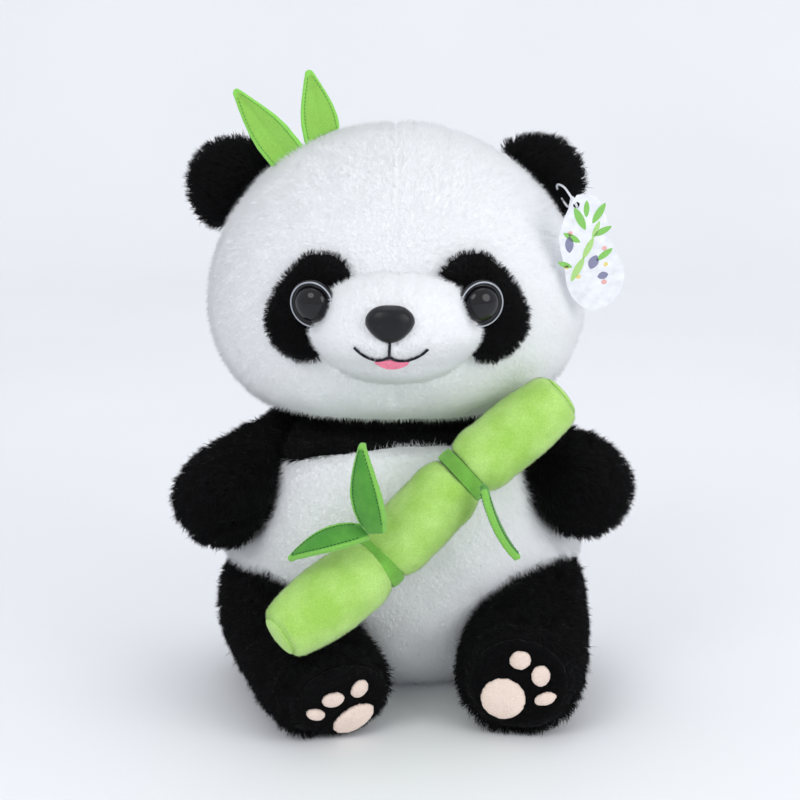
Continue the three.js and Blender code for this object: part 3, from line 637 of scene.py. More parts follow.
def build_pile(tree, tip, root, sheen):
    # The root colour is painted shade that falls down between the locks.
    brushed = effect(tree, pile_group(), {"Tip": tip, "Shaded Root": root})
    return {
        "Base Color": brushed["Colour"],
        "Roughness": 1.0,
        "Specular IOR Level": 0.1,
        "Sheen Weight": sheen,
        "Sheen Roughness": 0.6,
        "Normal": bumped(tree, brushed["Height"], 0.8, 0.0006),
    }


def build_lock(tree, shade, sheen, gloss):
    return {
        "Base Color": shade,
        "Roughness": 0.75,
        "Specular IOR Level": gloss,
        "Sheen Weight": sheen,
        "Sheen Roughness": 0.5,
    }


def build_nap(tree, flat, brushed, cloud, sheen):
    velour = effect(tree, nap_group(), {"Flat": flat, "Brushed": brushed, "Cloud Size": cloud})
    return {
        "Base Color": velour["Colour"],
        "Roughness": velour["Roughness"],
        "Specular IOR Level": 0.15,
        "Sheen Weight": sheen,
        "Normal": bumped(tree, velour["Height"], 0.35, 0.0003),
    }


def build_felt(tree, face, rim):
    share = node(tree, "ShaderNodeAttribute", attribute_name="rim").outputs["Fac"]
    felt = effect(tree, felt_group(), {"Face": face, "Rim": rim, "Rim Share": share})
    return {
        "Base Color": felt["Colour"],
        "Roughness": 0.95,
        "Specular IOR Level": 0.15,
        "Sheen Weight": 0.25,
        "Normal": bumped(tree, felt["Height"], 0.4, 0.0003),
    }


def build_moulded(tree, shade, gloss, smear, varnish, shine=0.5):
    plastic = effect(tree, grain_group(), {"Colour": shade, "Gloss": gloss, "Smear": smear})
    return {
        "Base Color": plastic["Colour"],
        "Roughness": plastic["Roughness"],
        "Specular IOR Level": shine,
        "Coat Weight": varnish,
        "Coat Roughness": 0.03,
        "Normal": bumped(tree, plastic["Height"], 0.05, 0.0001),
    }


def build_floor(tree):
    cloudy = between(tree, patches(tree, 0.4), 0.3, 0.7)
    return {
        "Base Color": mixed(tree, cloudy, (0.86, 0.87, 0.89, 1), (0.9, 0.91, 0.93, 1)),
        "Roughness": 0.55,
        "Specular IOR Level": 0.3,
    }


def white_plush():
    white = colours().white
    # The second colour is the painted shade down between the locks, a little darker than the tips.
    return material("White Plush", build_pile, opaque(white), opaque(white, 0.94), 0.1)


def black_plush():
    black = colours().black
    # The second colour is the painted shade down between the locks, darker than the tips.
    return material("Black Plush", build_pile, opaque(black), opaque(black, 0.45), 0.05)


def lock_tones(name, shade, factors, sheen, gloss):
    """A material for each tone of the pile's locks."""
    return [material(f"{name} Lock {n}", build_lock, opaque(shade, f), sheen, gloss) for n, f in factors]


def white_locks():
    factors = (("Bright", 1.0), ("Soft", 0.985), ("Deep", 0.955))
    return lock_tones("White", colours().white, factors, 0.05, 0.05)


def black_locks():
    factors = (("Deep", 0.6), ("Soft", 1.0), ("Bright", 2.2))
    return lock_tones("Black", colours().black, factors, 0.0, 0.18)


def fleece():
    flat, brushed = colours().fleece, colours().fleece_light
    return material("Bamboo Fleece", build_nap, opaque(flat), opaque(brushed), 0.016, 0.3)


# ---------- Sewing ----------
def coat(piece, made_of):
    """Gives a piece one material in place of any that it has."""
    piece.data.materials.clear()
    piece.data.materials.append(made_of)


def finish(piece, made_of, slot, body, *replaced, fill=None):
    """Lifts a piece off the floor and gives it its material and body. A bend between two bodies is not
    applied, and the piece is only fixed in place. The slot is not used.
    """
    places = points_of(piece.data)
    if places[:, 2].min() < 0:
        places[:, 2] = np.maximum(places[:, 2], SKIN_OFF_FLOOR)
        put_points(piece.data, places)
    if made_of is not None:
        coat(piece, made_of)
    if replaced:
        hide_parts(*replaced)
    if isinstance(body, str):
        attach(piece, body)
    else:
        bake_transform(piece)


def finish_pile(pieces, slot, body, airy=False):
    """Finishes pile. Airy pile is so fine that it neither shades nor tints what is near it."""
    for piece in pieces:
        finish(piece, None, slot, body)
        piece.visible_shadow = not airy
        piece.visible_diffuse = not airy


OUTLINES = {}


def outline(*nodes, hull=False):
    """A search tree of the outer skin round these nodes, with no hollow in it."""
    if nodes not in OUTLINES:
        rough = blank("outline", nodes, 3.5 * MM, hull=hull, relaxed=2)
        OUTLINES[nodes] = tree_of(rough)
        bpy.data.objects.remove(rough)
    return OUTLINES[nodes]


def head_outline():
    return outline(*HEAD_SOLIDS)


def torso_outline():
    return outline(*TORSO_SOLIDS, hull=True)


def arm_outline(side):
    return outline(f"arm_skin_{side}", f"arm_stuffing_{side}")


def leg_outline(side):
    return outline(f"leg_skin_{side}", f"leg_stuffing_{side}", f"sole_{side}")


def stalk_outline():
    return outline(*STALK_SEGMENTS, *STALK_CAPS, "stalk_stuffing")


def thread_run(name, stitches, radius):
    """Raised stitches. Each is a start, an end and the way out of the cloth, and it bows that way."""
    sides, rings = 6, 4
    vertices, faces = [], []
    for start, end, out in stitches:
        start, end, out = Vector(start), Vector(end), Vector(out).normalized()
        along = (end - start).normalized()
        across = along.cross(out).normalized()
        base = len(vertices)
        for r in range(rings + 1):
            t = r / rings
            centre = start.lerp(end, t) + out * radius * 1.2 * math.sin(math.pi * t)
            thick = radius * (0.35 + 0.65 * math.sin(math.pi * t) ** 0.5)
            for k in range(sides):
                turn = math.tau * k / sides
                vertices.append(centre + (across * math.cos(turn) + out * math.sin(turn)) * thick)
        for r in range(rings):
            for k in range(sides):
                a, b = base + r * sides + k, base + r * sides + (k + 1) % sides
                faces.append((a, b, b + sides, a + sides))
        faces.append(tuple(base + k for k in reversed(range(sides))))
        faces.append(tuple(base + rings * sides + k for k in range(sides)))
    return closed_piece(name, vertices, faces)


def turned(name, profile, matrix, segments=64):
    """A piece turned about the Z axis of the matrix, from (radius, height) points.

    The points start and end on the axis, or else they go round a ring."""
    vertices, faces, rings = [], [], []
    for radius, height in profile:
        if radius < 1e-9:
            rings.append([len(vertices)])
            vertices.append(matrix @ Vector((0, 0, height)))
            continue
        rings.append(list(range(len(vertices), len(vertices) + segments)))
        for k in range(segments):
            turn = math.tau * k / segments
            vertices.append(matrix @ Vector((radius * math.cos(turn), radius * math.sin(turn), height)))
    pairs = list(zip(rings, rings[1:]))
    if len(rings[0]) > 1:
        pairs.append((rings[-1], rings[0]))
    for low, high in pairs:
        for k in range(segments):
            around = ((low, k), (low, k + 1), (high, k + 1), (high, k))
            faces.append(tuple(dict.fromkeys(ring[j % len(ring)] for ring, j in around)))
    return closed_piece(name, vertices, faces)


def flat_frame(node_name, outwards):
    """The middle of a flat or round node, and its axis: the way it is thinnest, turned outwards."""
    places = points_of(frame["nodes"][node_name].data)
    middle = places.mean(0)
    axis = np.linalg.eigh(np.cov((places - middle).T))[1][:, 0]
    if axis @ np.array(outwards) < 0:
        axis = -axis
    return Vector(middle), Vector(axis)


def frame_matrix(middle, axis):
    return Matrix.Translation(middle) @ axis.to_track_quat("Z", "Y").to_matrix().to_4x4()


def middle_of(node_name):
    """The middle of a node's box."""
    low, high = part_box(node_name)
    return (low + high) / 2


def from_axis(places, middle, axis):
    """How far each place is along an axis from its middle, and how far it is off the axis."""
    offset = places - np.array(middle)
    height = offset @ np.array(axis)
    return height, np.linalg.norm(offset - height[:, None] * np.array(axis), axis=1)


# ---------- Head ----------
class PANDA_OT_head(bpy.types.Operator):
    """Stuffs the head, sinks its seams and plants its pile"""

    bl_idname = "panda.head"
    bl_label = "Head"

    def execute(self, context):
        spec = sizes()
        seam_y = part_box("head_back_panel")[0].y
        middle_z = middle_of("head_stuffing").z
        head = blank("head_plush", HEAD_SOLIDS, 4 * MM)
        swell(head, -(0.5 * spec.white_pile + 0.5 * spec.swell))
        places = points_of(head.data)
        centre_seam = (np.abs(places[:, 0]) < SEAM_HALF) & (places[:, 1] < seam_y)
        side_seam = np.abs(places[:, 1] - seam_y) < SEAM_HALF
        stuff(head, centre_seam | side_seam, spec.swell)
        finer(head)
        places = points_of(head.data)
        behind = places[:, 1] >= seam_y
        below = places[:, 2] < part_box("head_stuffing")[0].z + 14 * MM
        sink(head, np.abs(places[:, 0]) + behind + below, spec.seam, 1.8 * MM)
        sink(head, places[:, 1] - seam_y + below, 0.7 * spec.seam, 2.2 * MM)
        tufts(head, 0.2 * MM, 3.2 * MM, 3)
        tufts(head, 0.6 * MM, 14 * MM, 5)
        covers = [(node_tree(n), 0) for n in ("muzzle", *EYE_PATCHES, "ear_left", "ear_right")]

        def brushed(roots, normals):
            away = roots - np.array([0, roots[:, 1].min(), middle_z])
            parting = np.sign(roots[:, :1]) * np.exp(-((roots[:, :1] / (5 * MM)) ** 2)) * [[1, 0, 0]]
            parting *= roots[:, 2:] > middle_z
            return unit(away) * 0.6 + parting * 0.4 + np.array([0, 0.2, -0.35])

        locks = pile(
            "head_pile",
            head,
            {"density": spec.white_density, "length": 4 * MM, "lean": 1.5, "stray": 0.1, "pull": 0.08,
             "gleam": 0.04, "thick": 0.85, "mix": (0.55, 0.33, 0.12)},
            white_locks(),
            seed=11,
            comb=brushed,
            keep=lambda roots, normals: normals[:, 2] > -0.9,
            covers=covers,
        )
        finish(head, white_plush(), "white_plush", "head", *HEAD_SOLIDS, fill=0.8)
        finish_pile(locks, "white_plush", "head", airy=True)
        return {"FINISHED"}


class PANDA_OT_muzzle(bpy.types.Operator):
    """Rounds out the muzzle and plants its short pile"""

    bl_idname = "panda.muzzle"
    bl_label = "Muzzle"

    def execute(self, context):
        spec = sizes()
        muzzle = blank("muzzle_plush", ("muzzle",), 2.4 * MM, relaxed=3)
        centre = Vector((0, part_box("muzzle")[1].y, middle_of("muzzle").z))
        places = points_of(muzzle.data)
        facing = (normals_of(muzzle.data) * unit(places - np.array(centre))).sum(1)
        below = np.clip((centre.z - places[:, 2]) / (12 * MM), 0, 1)
        swell(muzzle, np.where(facing > 0, (0.8 - 1.9 * below) * spec.face_pile, 4 * MM))
        finer(muzzle)
        places = points_of(muzzle.data)
        sink(muzzle, np.abs(places[:, 0]) + (places[:, 2] < centre.z), 0.6 * spec.seam, 1.8 * MM)
        tufts(muzzle, 0.15 * MM, 2.8 * MM, 7)
        covers = [(node_tree(n), 0) for n in ("tongue", "mouth_stitching", "eye_left", "eye_right")]
        covers.append((node_tree("nose"), 0.5 * MM))
        locks = pile(
            "muzzle_pile",
            muzzle,
            {"density": 2.6, "length": 2.7 * MM, "lean": 1.3, "stray": 0.1, "pull": 0.06, "gleam": 0.04,
             "thick": 0.7, "mix": (0.6, 0.3, 0.1)},
            white_locks(),
            seed=12,
            comb=lambda roots, normals: unit(roots - np.array(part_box("nose")[0])) + np.array([0, 0, -0.2]),
            keep=lambda roots, normals: (normals * unit(roots - np.array(centre))).sum(1) > 0.05,
            covers=covers,
        )
        finish(muzzle, white_plush(), "white_plush", "head", "muzzle", fill=0.8)
        finish_pile(locks, "white_plush", "head", airy=True)
        return {"FINISHED"}


class PANDA_OT_eye_patches(bpy.types.Operator):
    """Sews the two eye patches on, with their fluffy pile"""

    bl_idname = "panda.eye_patches"
    bl_label = "Eye Patches"

    def execute(self, context):
        spec = sizes()
        head_middle = np.array(middle_of("head_stuffing"))
        for number, side in enumerate(SIDES):
            patch = blank(f"eye_patch_plush_{side}", (f"eye_patch_{side}",), 1.5 * MM, relaxed=3)
            facing = (normals_of(patch.data) * unit(points_of(patch.data) - head_middle)).sum(1)
            edge_or_back = np.where(facing < -0.3, 3 * MM, -0.5 * MM)
            swell(patch, np.where(facing > 0.3, -spec.face_pile, edge_or_back))
            finer(patch)
            tufts(patch, 0.4 * MM, 2 * MM, 20 + number)
            eye_middle, _ = flat_frame(f"eye_ring_{side}", (0, -1, 0))
            covers = [(node_tree(f"eye_{side}"), 0.6 * MM), (node_tree("muzzle"), 0)]
            locks = pile(
                f"eye_patch_pile_{side}",
                patch,
                {"density": 3.2, "length": 3.4 * MM, "lean": 0.8, "stray": 0.3, "curved": True,
                 "thick": 0.8, "pull": 0.5, "mix": (0.55, 0.35, 0.1), "flyaways": 0.04},
                black_locks(),
                seed=30 + number,
                comb=lambda roots, normals, eye=np.array(eye_middle): unit(roots - eye),
                keep=lambda roots, normals: (normals * unit(roots - head_middle)).sum(1) > 0.1,
                covers=covers,
            )
            finish(patch, black_plush(), "black_plush", "head", f"eye_patch_{side}")
            finish_pile(locks, "black_plush", "head")
        return {"FINISHED"}


class PANDA_OT_eyes(bpy.types.Operator):
    """Moulds the safety eyes: a glossy dome in a black seat, with a pale ring"""

    bl_idname = "panda.eyes"
    bl_label = "Safety Eyes"

    def execute(self, context):
        dome_radius, ring_radius, flange = 8.0 * MM, 9.9 * MM, 10.7 * MM
        shade = colours()
        glossy = material("Eye Dome", build_moulded, opaque(shade.eye, 0.7), 0.03, 0.05, 0.0, 0.38)
        ringed = material("Eye Ring", build_moulded, opaque(shade.ring), 0.18, 0.1, 0.6)
        for side in SIDES:
            middle, axis = flat_frame(f"eye_ring_{side}", (0, -1, 0))
            matrix = frame_matrix(middle, axis)
            steps = [math.pi / 2 * k / 14 for k in range(15)]
            dome = [(dome_radius * math.cos(a), (-0.6 + 5.4 * math.sin(a)) * MM) for a in steps[:-1]]
            profile = [(0, -2.6 * MM), (flange, -2.6 * MM), (flange, -0.6 * MM)]
            profile += [(flange - 0.4 * MM, -0.2 * MM), (ring_radius, -0.1 * MM)]
            profile += [(dome_radius + 0.7 * MM, -0.9 * MM), *dome, (0, 4.8 * MM)]
            eye = turned(f"safety_eye_{side}", profile, matrix)
            turns = [math.tau * k / 12 for k in range(12)]
            thick = 0.36 * MM
            wire = [(ring_radius + thick * math.cos(a), 0.15 * MM + thick * math.sin(a)) for a in turns]
            ring = turned(f"safety_eye_ring_{side}", wire, matrix)
            finish(eye, glossy, "eye_plastic", "head", f"eye_{side}")
            finish(ring, ringed, "eye_ring_plastic", "head", f"eye_ring_{side}")
        return {"FINISHED"}


class PANDA_OT_nose(bpy.types.Operator):
    """Moulds the nose as a satin rounded triangle"""

    bl_idname = "panda.nose"
    bl_label = "Nose"

    def execute(self, context):
        nose = blank("moulded_nose", ("nose",), 0.7 * MM, relaxed=10)
        finer(nose)
        relax(nose.data, 3)
        satin = material("Nose Plastic", build_moulded, opaque(colours().nose, 0.3), 0.28, 0.14, 0.0, 0.32)
        finish(nose, satin, "nose_plastic", "head", "nose")
        return {"FINISHED"}


# Places along the smile in millimetres, across and up from where the drop from the nose meets it.
SMILE = [(-15, 4.6), (-13, 2.7), (-10, 0.6), (-6, -0.9), (-3, -0.7), (0, 0.4), (3, -0.8), (7, -1),
         (11, 0.2), (14, 2), (16.4, 4.1)]
DROP_HEIGHT = 7.2


def smooth_line(points, count):
    """Even points along a smooth line through the given ones."""
    points = [Vector(p) for p in points]
    ends = [2 * points[0] - points[1], *points, 2 * points[-1] - points[-2]]
    line = []
    for a, b, c, d in zip(ends, ends[1:], ends[2:], ends[3:]):
        for k in range(12):
            t = k / 12
            squared, cubed = 2 * a - 5 * b + 4 * c - d, 3 * b - a - 3 * c + d
            line.append(0.5 * (2 * b + (c - a) * t + squared * t**2 + cubed * t**3))
    line.append(points[-1])
    reached = np.concatenate([[0], np.cumsum([(q - p).length for p, q in zip(line, line[1:])])])
    wanted = np.linspace(0, reached[-1], count)
    columns = [np.interp(wanted, reached, [p[k] for p in line]) for k in range(len(points[0]))]
    return np.stack(columns, 1)


class PANDA_OT_mouth(bpy.types.Operator):
    """Embroiders the mouth in satin stitch and sews on the tongue"""

    bl_idname = "panda.mouth"
    bl_label = "Mouth"

    def execute(self, context):
        spec = sizes()
        surface = tree_of(bpy.data.objects["muzzle_plush"])
        middle = Vector((-2.5 * MM, 0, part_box("mouth_stitching")[1].z - 5.8 * MM))
        half_width, spacing = 0.7 * MM, 0.42 * MM

        def satin(line):
            stitches = []
            for before, here, after in zip(line, line[1:], line[2:]):
                spot, normal, _, _ = surface.ray_cast(Vector((here[0], -0.3, here[1])), Vector((0, 1, 0)))
                along = Vector((after[0] - before[0], 0, after[1] - before[1])).normalized()
                across = (along.cross(normal) + 0.25 * along).normalized() * half_width
                spot = spot + normal * 0.35 * spec.face_pile
                stitches.append((spot - across, spot + across, normal))
            return stitches

        smile_points = [(middle.x + x * MM, middle.z + z * MM) for x, z in SMILE]
        smile = smooth_line(smile_points, int(36 * MM / spacing))
        drop_points = [(middle.x, middle.z + z * MM) for z in (DROP_HEIGHT, 0.5 * DROP_HEIGHT, 0)]
        drop = smooth_line(drop_points, int(DROP_HEIGHT * MM / spacing))
        mouth = thread_run("mouth_embroidery", satin(smile) + satin(drop), 0.42 * MM)
        dark = colours().mouth
        thread = material("Mouth Thread", build_nap, opaque(dark), opaque(dark, 1.6), 0.002, 0.2)
        finish(mouth, thread, "embroidery_thread", "head", "mouth_stitching")

        tongue = blank("felt_tongue", ("tongue",), 0.5 * MM, relaxed=5)
        pink = colours().tongue
        felt = material("Tongue Felt", build_nap, opaque(pink), opaque(pink, 1.15), 0.003, 0.3)
        places = points_of(tongue.data)
        bottom, front = places[:, 2].min(), places[:, 1].min()
        places[:, 2] = bottom + 1.6 * MM + 0.68 * (places[:, 2] - bottom)
        for i in np.flatnonzero(places[:, 1] < front + 4 * MM):
            spot = surface.ray_cast(Vector((places[i, 0], -0.3, places[i, 2])), Vector((0, 1, 0)))[0]
            if spot is not None and normals_of(tongue.data)[i, 1] < 0:
                places[i, 1] = spot.y - 0.6 * MM
        put_points(tongue.data, places)
        relax(tongue.data, 2)
        finish(tongue, felt, "tongue_felt", "head", "tongue")
        return {"FINISHED"}


class PANDA_OT_ears(bpy.types.Operator):
    """Stuffs the ears and plants their fluffy pile"""

    bl_idname = "panda.ears"
    bl_label = "Ears"

    def execute(self, context):
        spec = sizes()
        head_middle = np.array(middle_of("head_stuffing"))
        for number, side in enumerate(SIDES):
            ear = blank(f"ear_plush_{side}", (f"ear_{side}",), 2.2 * MM, relaxed=5)
            swell(ear, 0.1 * spec.black_pile)
            middle, _ = flat_frame(f"ear_{side}", (0, -1, 0))
            places = points_of(ear.data)
            seam = np.abs(places[:, 1] - middle.y) < 1.4 * MM
            root = np.linalg.norm(places - head_middle, axis=1)
            stuff(ear, seam | (root < root.min() + 4 * MM), 1.2 * MM)
            finer(ear)
            tufts(ear, 0.5 * MM, 2.6 * MM, 40 + number)
            locks = pile(
                f"ear_pile_{side}",
                ear,
                {"density": 2.2, "length": 4.6 * MM, "lean": 0.75, "stray": 0.35, "curved": True,
                 "pull": 0.6, "spacing": 0.05, "mix": (0.5, 0.36, 0.14), "flyaways": 0.06},
                black_locks(),
                seed=50 + number,
                comb=lambda roots, normals: unit(roots - head_middle) + np.array([0, 0.3, 0]),
                covers=[(head_outline(), 2 * MM)],
            )
            finish(ear, black_plush(), "black_plush", "head", f"ear_{side}", fill=0.5)
            finish_pile(locks, "black_plush", "head")
        return {"FINISHED"}


# ---------- Torso ----------
def nearest(trees, places):
    """How far each place is from the nearest of the trees."""
    return np.array([min(tree.find_nearest(Vector(place))[3] for tree in trees) for place in places])


def in_yoke(places):
    """How far each place is inside the black yoke, whose lower edge is a wide arch round the torso."""
    middle, top, radius = 15 * MM, 122 * MM, 240 * MM
    return np.hypot(places[:, 0] - middle, places[:, 2] - top + radius) - radius


def shell(name, piece, chosen, lift, thick):
    """A closed sheet that lies over the chosen points of a piece."""
    sheet = piece.data.copy()
    sheet.name = name
    shape = bmesh.new()
    shape.from_mesh(sheet)
    shape.verts.ensure_lookup_table()
    spare = [v for v, keep in zip(shape.verts, chosen) if not keep]
    bmesh.ops.delete(shape, geom=spare, context="VERTS")
    hem = [v for v in shape.verts if v.is_boundary]
    for _ in range(8):
        beside = [[e.other_vert(v).co for e in v.link_edges if e.is_boundary] for v in hem]
        middles = [sum(places, Vector()) / 2 for places in beside]
        for v, place in zip(hem, middles):
            v.co = v.co.lerp(place, 0.5)
    shape.normal_update()
    shape.to_mesh(sheet)
    shape.free()
    made = link(name, sheet)
    swell(made, lift)
    solid = made.modifiers.new("Thick", "SOLIDIFY")
    solid.thickness = thick
    solid.offset = 0
    settle(made)
    keep_largest(made.data)
    return made


class PANDA_OT_torso(bpy.types.Operator):
    """Stuffs the torso, sews the black yoke over its shoulders and plants the pile of both"""

    bl_idname = "panda.torso"
    bl_label = "Torso"

    def execute(self, context):
        spec = sizes()
        torso = blank("torso_plush", TORSO_SOLIDS, 4 * MM, hull=True)
        swell(torso, -(0.4 * spec.white_pile + 0.5 * spec.swell))
        places = points_of(torso.data)
        side_seam = np.abs(places[:, 1] - TORSO_SEAM_Y) < SEAM_HALF
        stuff(torso, side_seam, spec.swell)
        for side in SIDES:
            make_room(torso, arm_outline(side), 1.5 * MM)
            make_room(torso, leg_outline(side), 1.5 * MM)
        make_room(torso, head_outline(), 2 * MM)
        finer(torso)
        places = points_of(torso.data)
        black = in_yoke(places)
        sink(torso, black, 0.5 * spec.seam, 2 * MM)
        sink(torso, places[:, 1] - TORSO_SEAM_Y, 0.6 * spec.seam, 2 * MM)
        tufts(torso, 0.25 * MM, 4 * MM, 61)
        tufts(torso, 0.6 * MM, 16 * MM, 60)
        yoke = shell("yoke_plush", torso, black > 0.3 * MM, 0.5 * MM, 0.5 * MM)

        limbs = [(arm_outline(s), 0) for s in SIDES] + [(leg_outline(s), 0) for s in SIDES]
        covers = [*limbs, (head_outline(), 3.5 * MM)]

        def brushed(roots, normals):
            return np.array([0, 0, -0.8]) + 0.2 * roots / 0.08 * [[1, 0, 0]]

        white = pile(
            "torso_pile",
            torso,
            {"density": spec.white_density, "length": 4.6 * MM, "lean": 1.4, "stray": 0.12, "pull": 0.1,
             "gleam": 0.06, "thick": 0.9, "mix": (0.55, 0.33, 0.12)},
            white_locks(),
            seed=62,
            comb=brushed,
            keep=lambda roots, normals: in_yoke(roots) < 0.3 * MM,
            covers=covers,
        )
        black_pile = pile(
            "yoke_pile",
            torso,
            {"density": 1.4, "length": 5 * MM, "lean": 0.8, "stray": 0.35, "curved": True, "pull": 0.6,
             "spacing": 0.05, "mix": (0.55, 0.35, 0.1), "flyaways": 0.04},
            black_locks(),
            seed=63,
            comb=brushed,
            keep=lambda roots, normals: in_yoke(roots) > 0.2 * MM,
            covers=covers,
        )
        hidden = (*TORSO_WHITE, "torso_stuffing", "neck_stuffing")
        finish(torso, white_plush(), "white_plush", "torso", *hidden, fill=0.8)
        finish(yoke, black_plush(), "black_plush", "torso", *TORSO_BLACK)
        finish_pile(white, "white_plush", "torso", airy=True)
        finish_pile(black_pile, "black_plush", "torso")
        return {"FINISHED"}


class PANDA_OT_tail(bpy.types.Operator):
    """Rounds out the tail and plants its pile"""

    bl_idname = "panda.tail"
    bl_label = "Tail"

    def execute(self, context):
        spec = sizes()
        tail = blank("tail_plush", ("tail",), 2.5 * MM, relaxed=4)
        swell(tail, -0.6 * spec.white_pile)
        finer(tail)
        tufts(tail, 0.5 * MM, 3 * MM, 71)
        locks = pile(
            "tail_pile",
            tail,
            {"density": 1.6, "length": 4.2 * MM, "lean": 0.7, "stray": 0.35, "pull": 0.5,
             "mix": (0.5, 0.32, 0.18)},
            white_locks(),
            seed=72,
            comb=lambda roots, normals: np.array([[0, 0.4, -0.6]]),
            covers=[(torso_outline(), 2 * MM)],
        )
        finish(tail, white_plush(), "white_plush", "torso", "tail", fill=0.6)
        finish_pile(locks, "white_plush", "torso", airy=True)
        return {"FINISHED"}


# ---------- Limbs ----------
SHAGGY = {"density": 1.5, "lean": 0.85, "stray": 0.4, "curved": True, "pull": 0.65, "spacing": 0.045,
          "mix": (0.52, 0.36, 0.12), "flyaways": 0.05}


def across_joint(limb, pivot, tip):
    """The bend from the torso to the limb, over the first part of its length, as a record that nothing
    applies.
    """
    along = (tip - pivot).normalized()
    return {"from": "torso", "to": limb, "start": pivot - along * 12 * MM, "end": pivot + along * 10 * MM}


class PANDA_OT_arms(bpy.types.Operator):
    """Stuffs the arms and plants their shaggy pile"""

    bl_idname = "panda.arms"
    bl_label = "Arms"

    def execute(self, context):
        spec = sizes()
        for number, side in enumerate(SIDES):
            nodes = (f"arm_skin_{side}", f"arm_stuffing_{side}")
            arm = blank(f"arm_plush_{side}", nodes, 3.5 * MM)
            swell(arm, -0.1 * spec.black_pile)
            pivot = Vector(joint(f"arm_raise_{side}")["pos_m"])
            places = points_of(arm.data)
            tip = Vector(places[np.argmax(np.linalg.norm(places - np.array(pivot), axis=1))])
            along = (tip - pivot).normalized()
            stuff(arm, from_axis(places, pivot, along)[0] < 0, spec.swell)
            finer(arm)
            if side == "right":
                places = points_of(arm.data)
                front = normals_of(arm.data)[:, 1] < 0
                low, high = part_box(nodes[0])
                fold = low.z + 0.3 * (high.z - low.z) + 0.17 * (places[:, 0] - (low.x + high.x) / 2)
                sink(arm, np.where(front, places[:, 2] - fold, 1), 3.2 * MM, 2.4 * MM)
            tufts(arm, 0.7 * MM, 3 * MM, 80 + number)
            tufts(arm, 0.9 * MM, 12 * MM, 84 + number)
            covers = [(stalk_outline(), 0), (head_outline(), 0), (torso_outline(), 6 * MM)]
            locks = pile(
                f"arm_pile_{side}",
                arm,
                {**SHAGGY, "length": 5.4 * MM},
                black_locks(),
                seed=86 + number,
                comb=lambda roots, normals, way=np.array(along): way * 0.9 + np.array([0, 0, -0.4]),
                covers=covers,
            )
            bend = across_joint(f"arm_{side}", pivot, tip)
            finish(arm, black_plush(), "black_plush", bend, *nodes, fill=0.7)
            finish_pile(locks, "black_plush", bend)
        return {"FINISHED"}


class PANDA_OT_legs(bpy.types.Operator):
    """Stuffs the legs and plants their shaggy pile"""

    bl_idname = "panda.legs"
    bl_label = "Legs"

    def execute(self, context):
        spec = sizes()
        for number, side in enumerate(SIDES):
            nodes = (f"leg_skin_{side}", f"leg_stuffing_{side}")
            leg = blank(f"leg_plush_{side}", (*nodes, f"sole_{side}"), 3.5 * MM)
            pivot = Vector(joint(f"leg_splay_{side}")["pos_m"])
            tip = middle_of(f"sole_{side}")
            along = (tip - pivot).normalized()
            reached, _ = from_axis(points_of(leg.data), pivot, along)
            far = (tip - pivot).length
            at_sole = np.clip((reached - far + 7 * MM) / (5 * MM), 0, 1)
            swell(leg, -0.1 * spec.black_pile * (1 - at_sole) - 1.2 * MM * at_sole)
            stuff(leg, (reached < 0) | (reached > far - 7 * MM), spec.swell)
            finer(leg)
            reached, _ = from_axis(points_of(leg.data), pivot, along)
            sink(leg, reached - (far - 14 * MM), 1.1 * MM, 3 * MM)
            tufts(leg, 0.7 * MM, 3 * MM, 90 + number)
            tufts(leg, 0.9 * MM, 13 * MM, 94 + number)
            sole = node_tree(f"sole_{side}")
            covers = [(torso_outline(), 6 * MM), (stalk_outline(), 0)]
            locks = pile(
                f"leg_pile_{side}",
                leg,
                {**SHAGGY, "length": 5.2 * MM},
                black_locks(),
                seed=96 + number,
                comb=lambda roots, normals, way=np.array(along): way * 0.6 + np.array([0, 0, -0.5]),
                keep=lambda roots, normals, tree=sole: nearest([tree], roots) > 2.6 * MM,
                covers=covers,
            )
            bend = across_joint(f"leg_{side}", pivot, tip)
            finish(leg, black_plush(), "black_plush", bend, *nodes, fill=0.75)
            finish_pile(locks, "black_plush", bend)
        return {"FINISHED"}


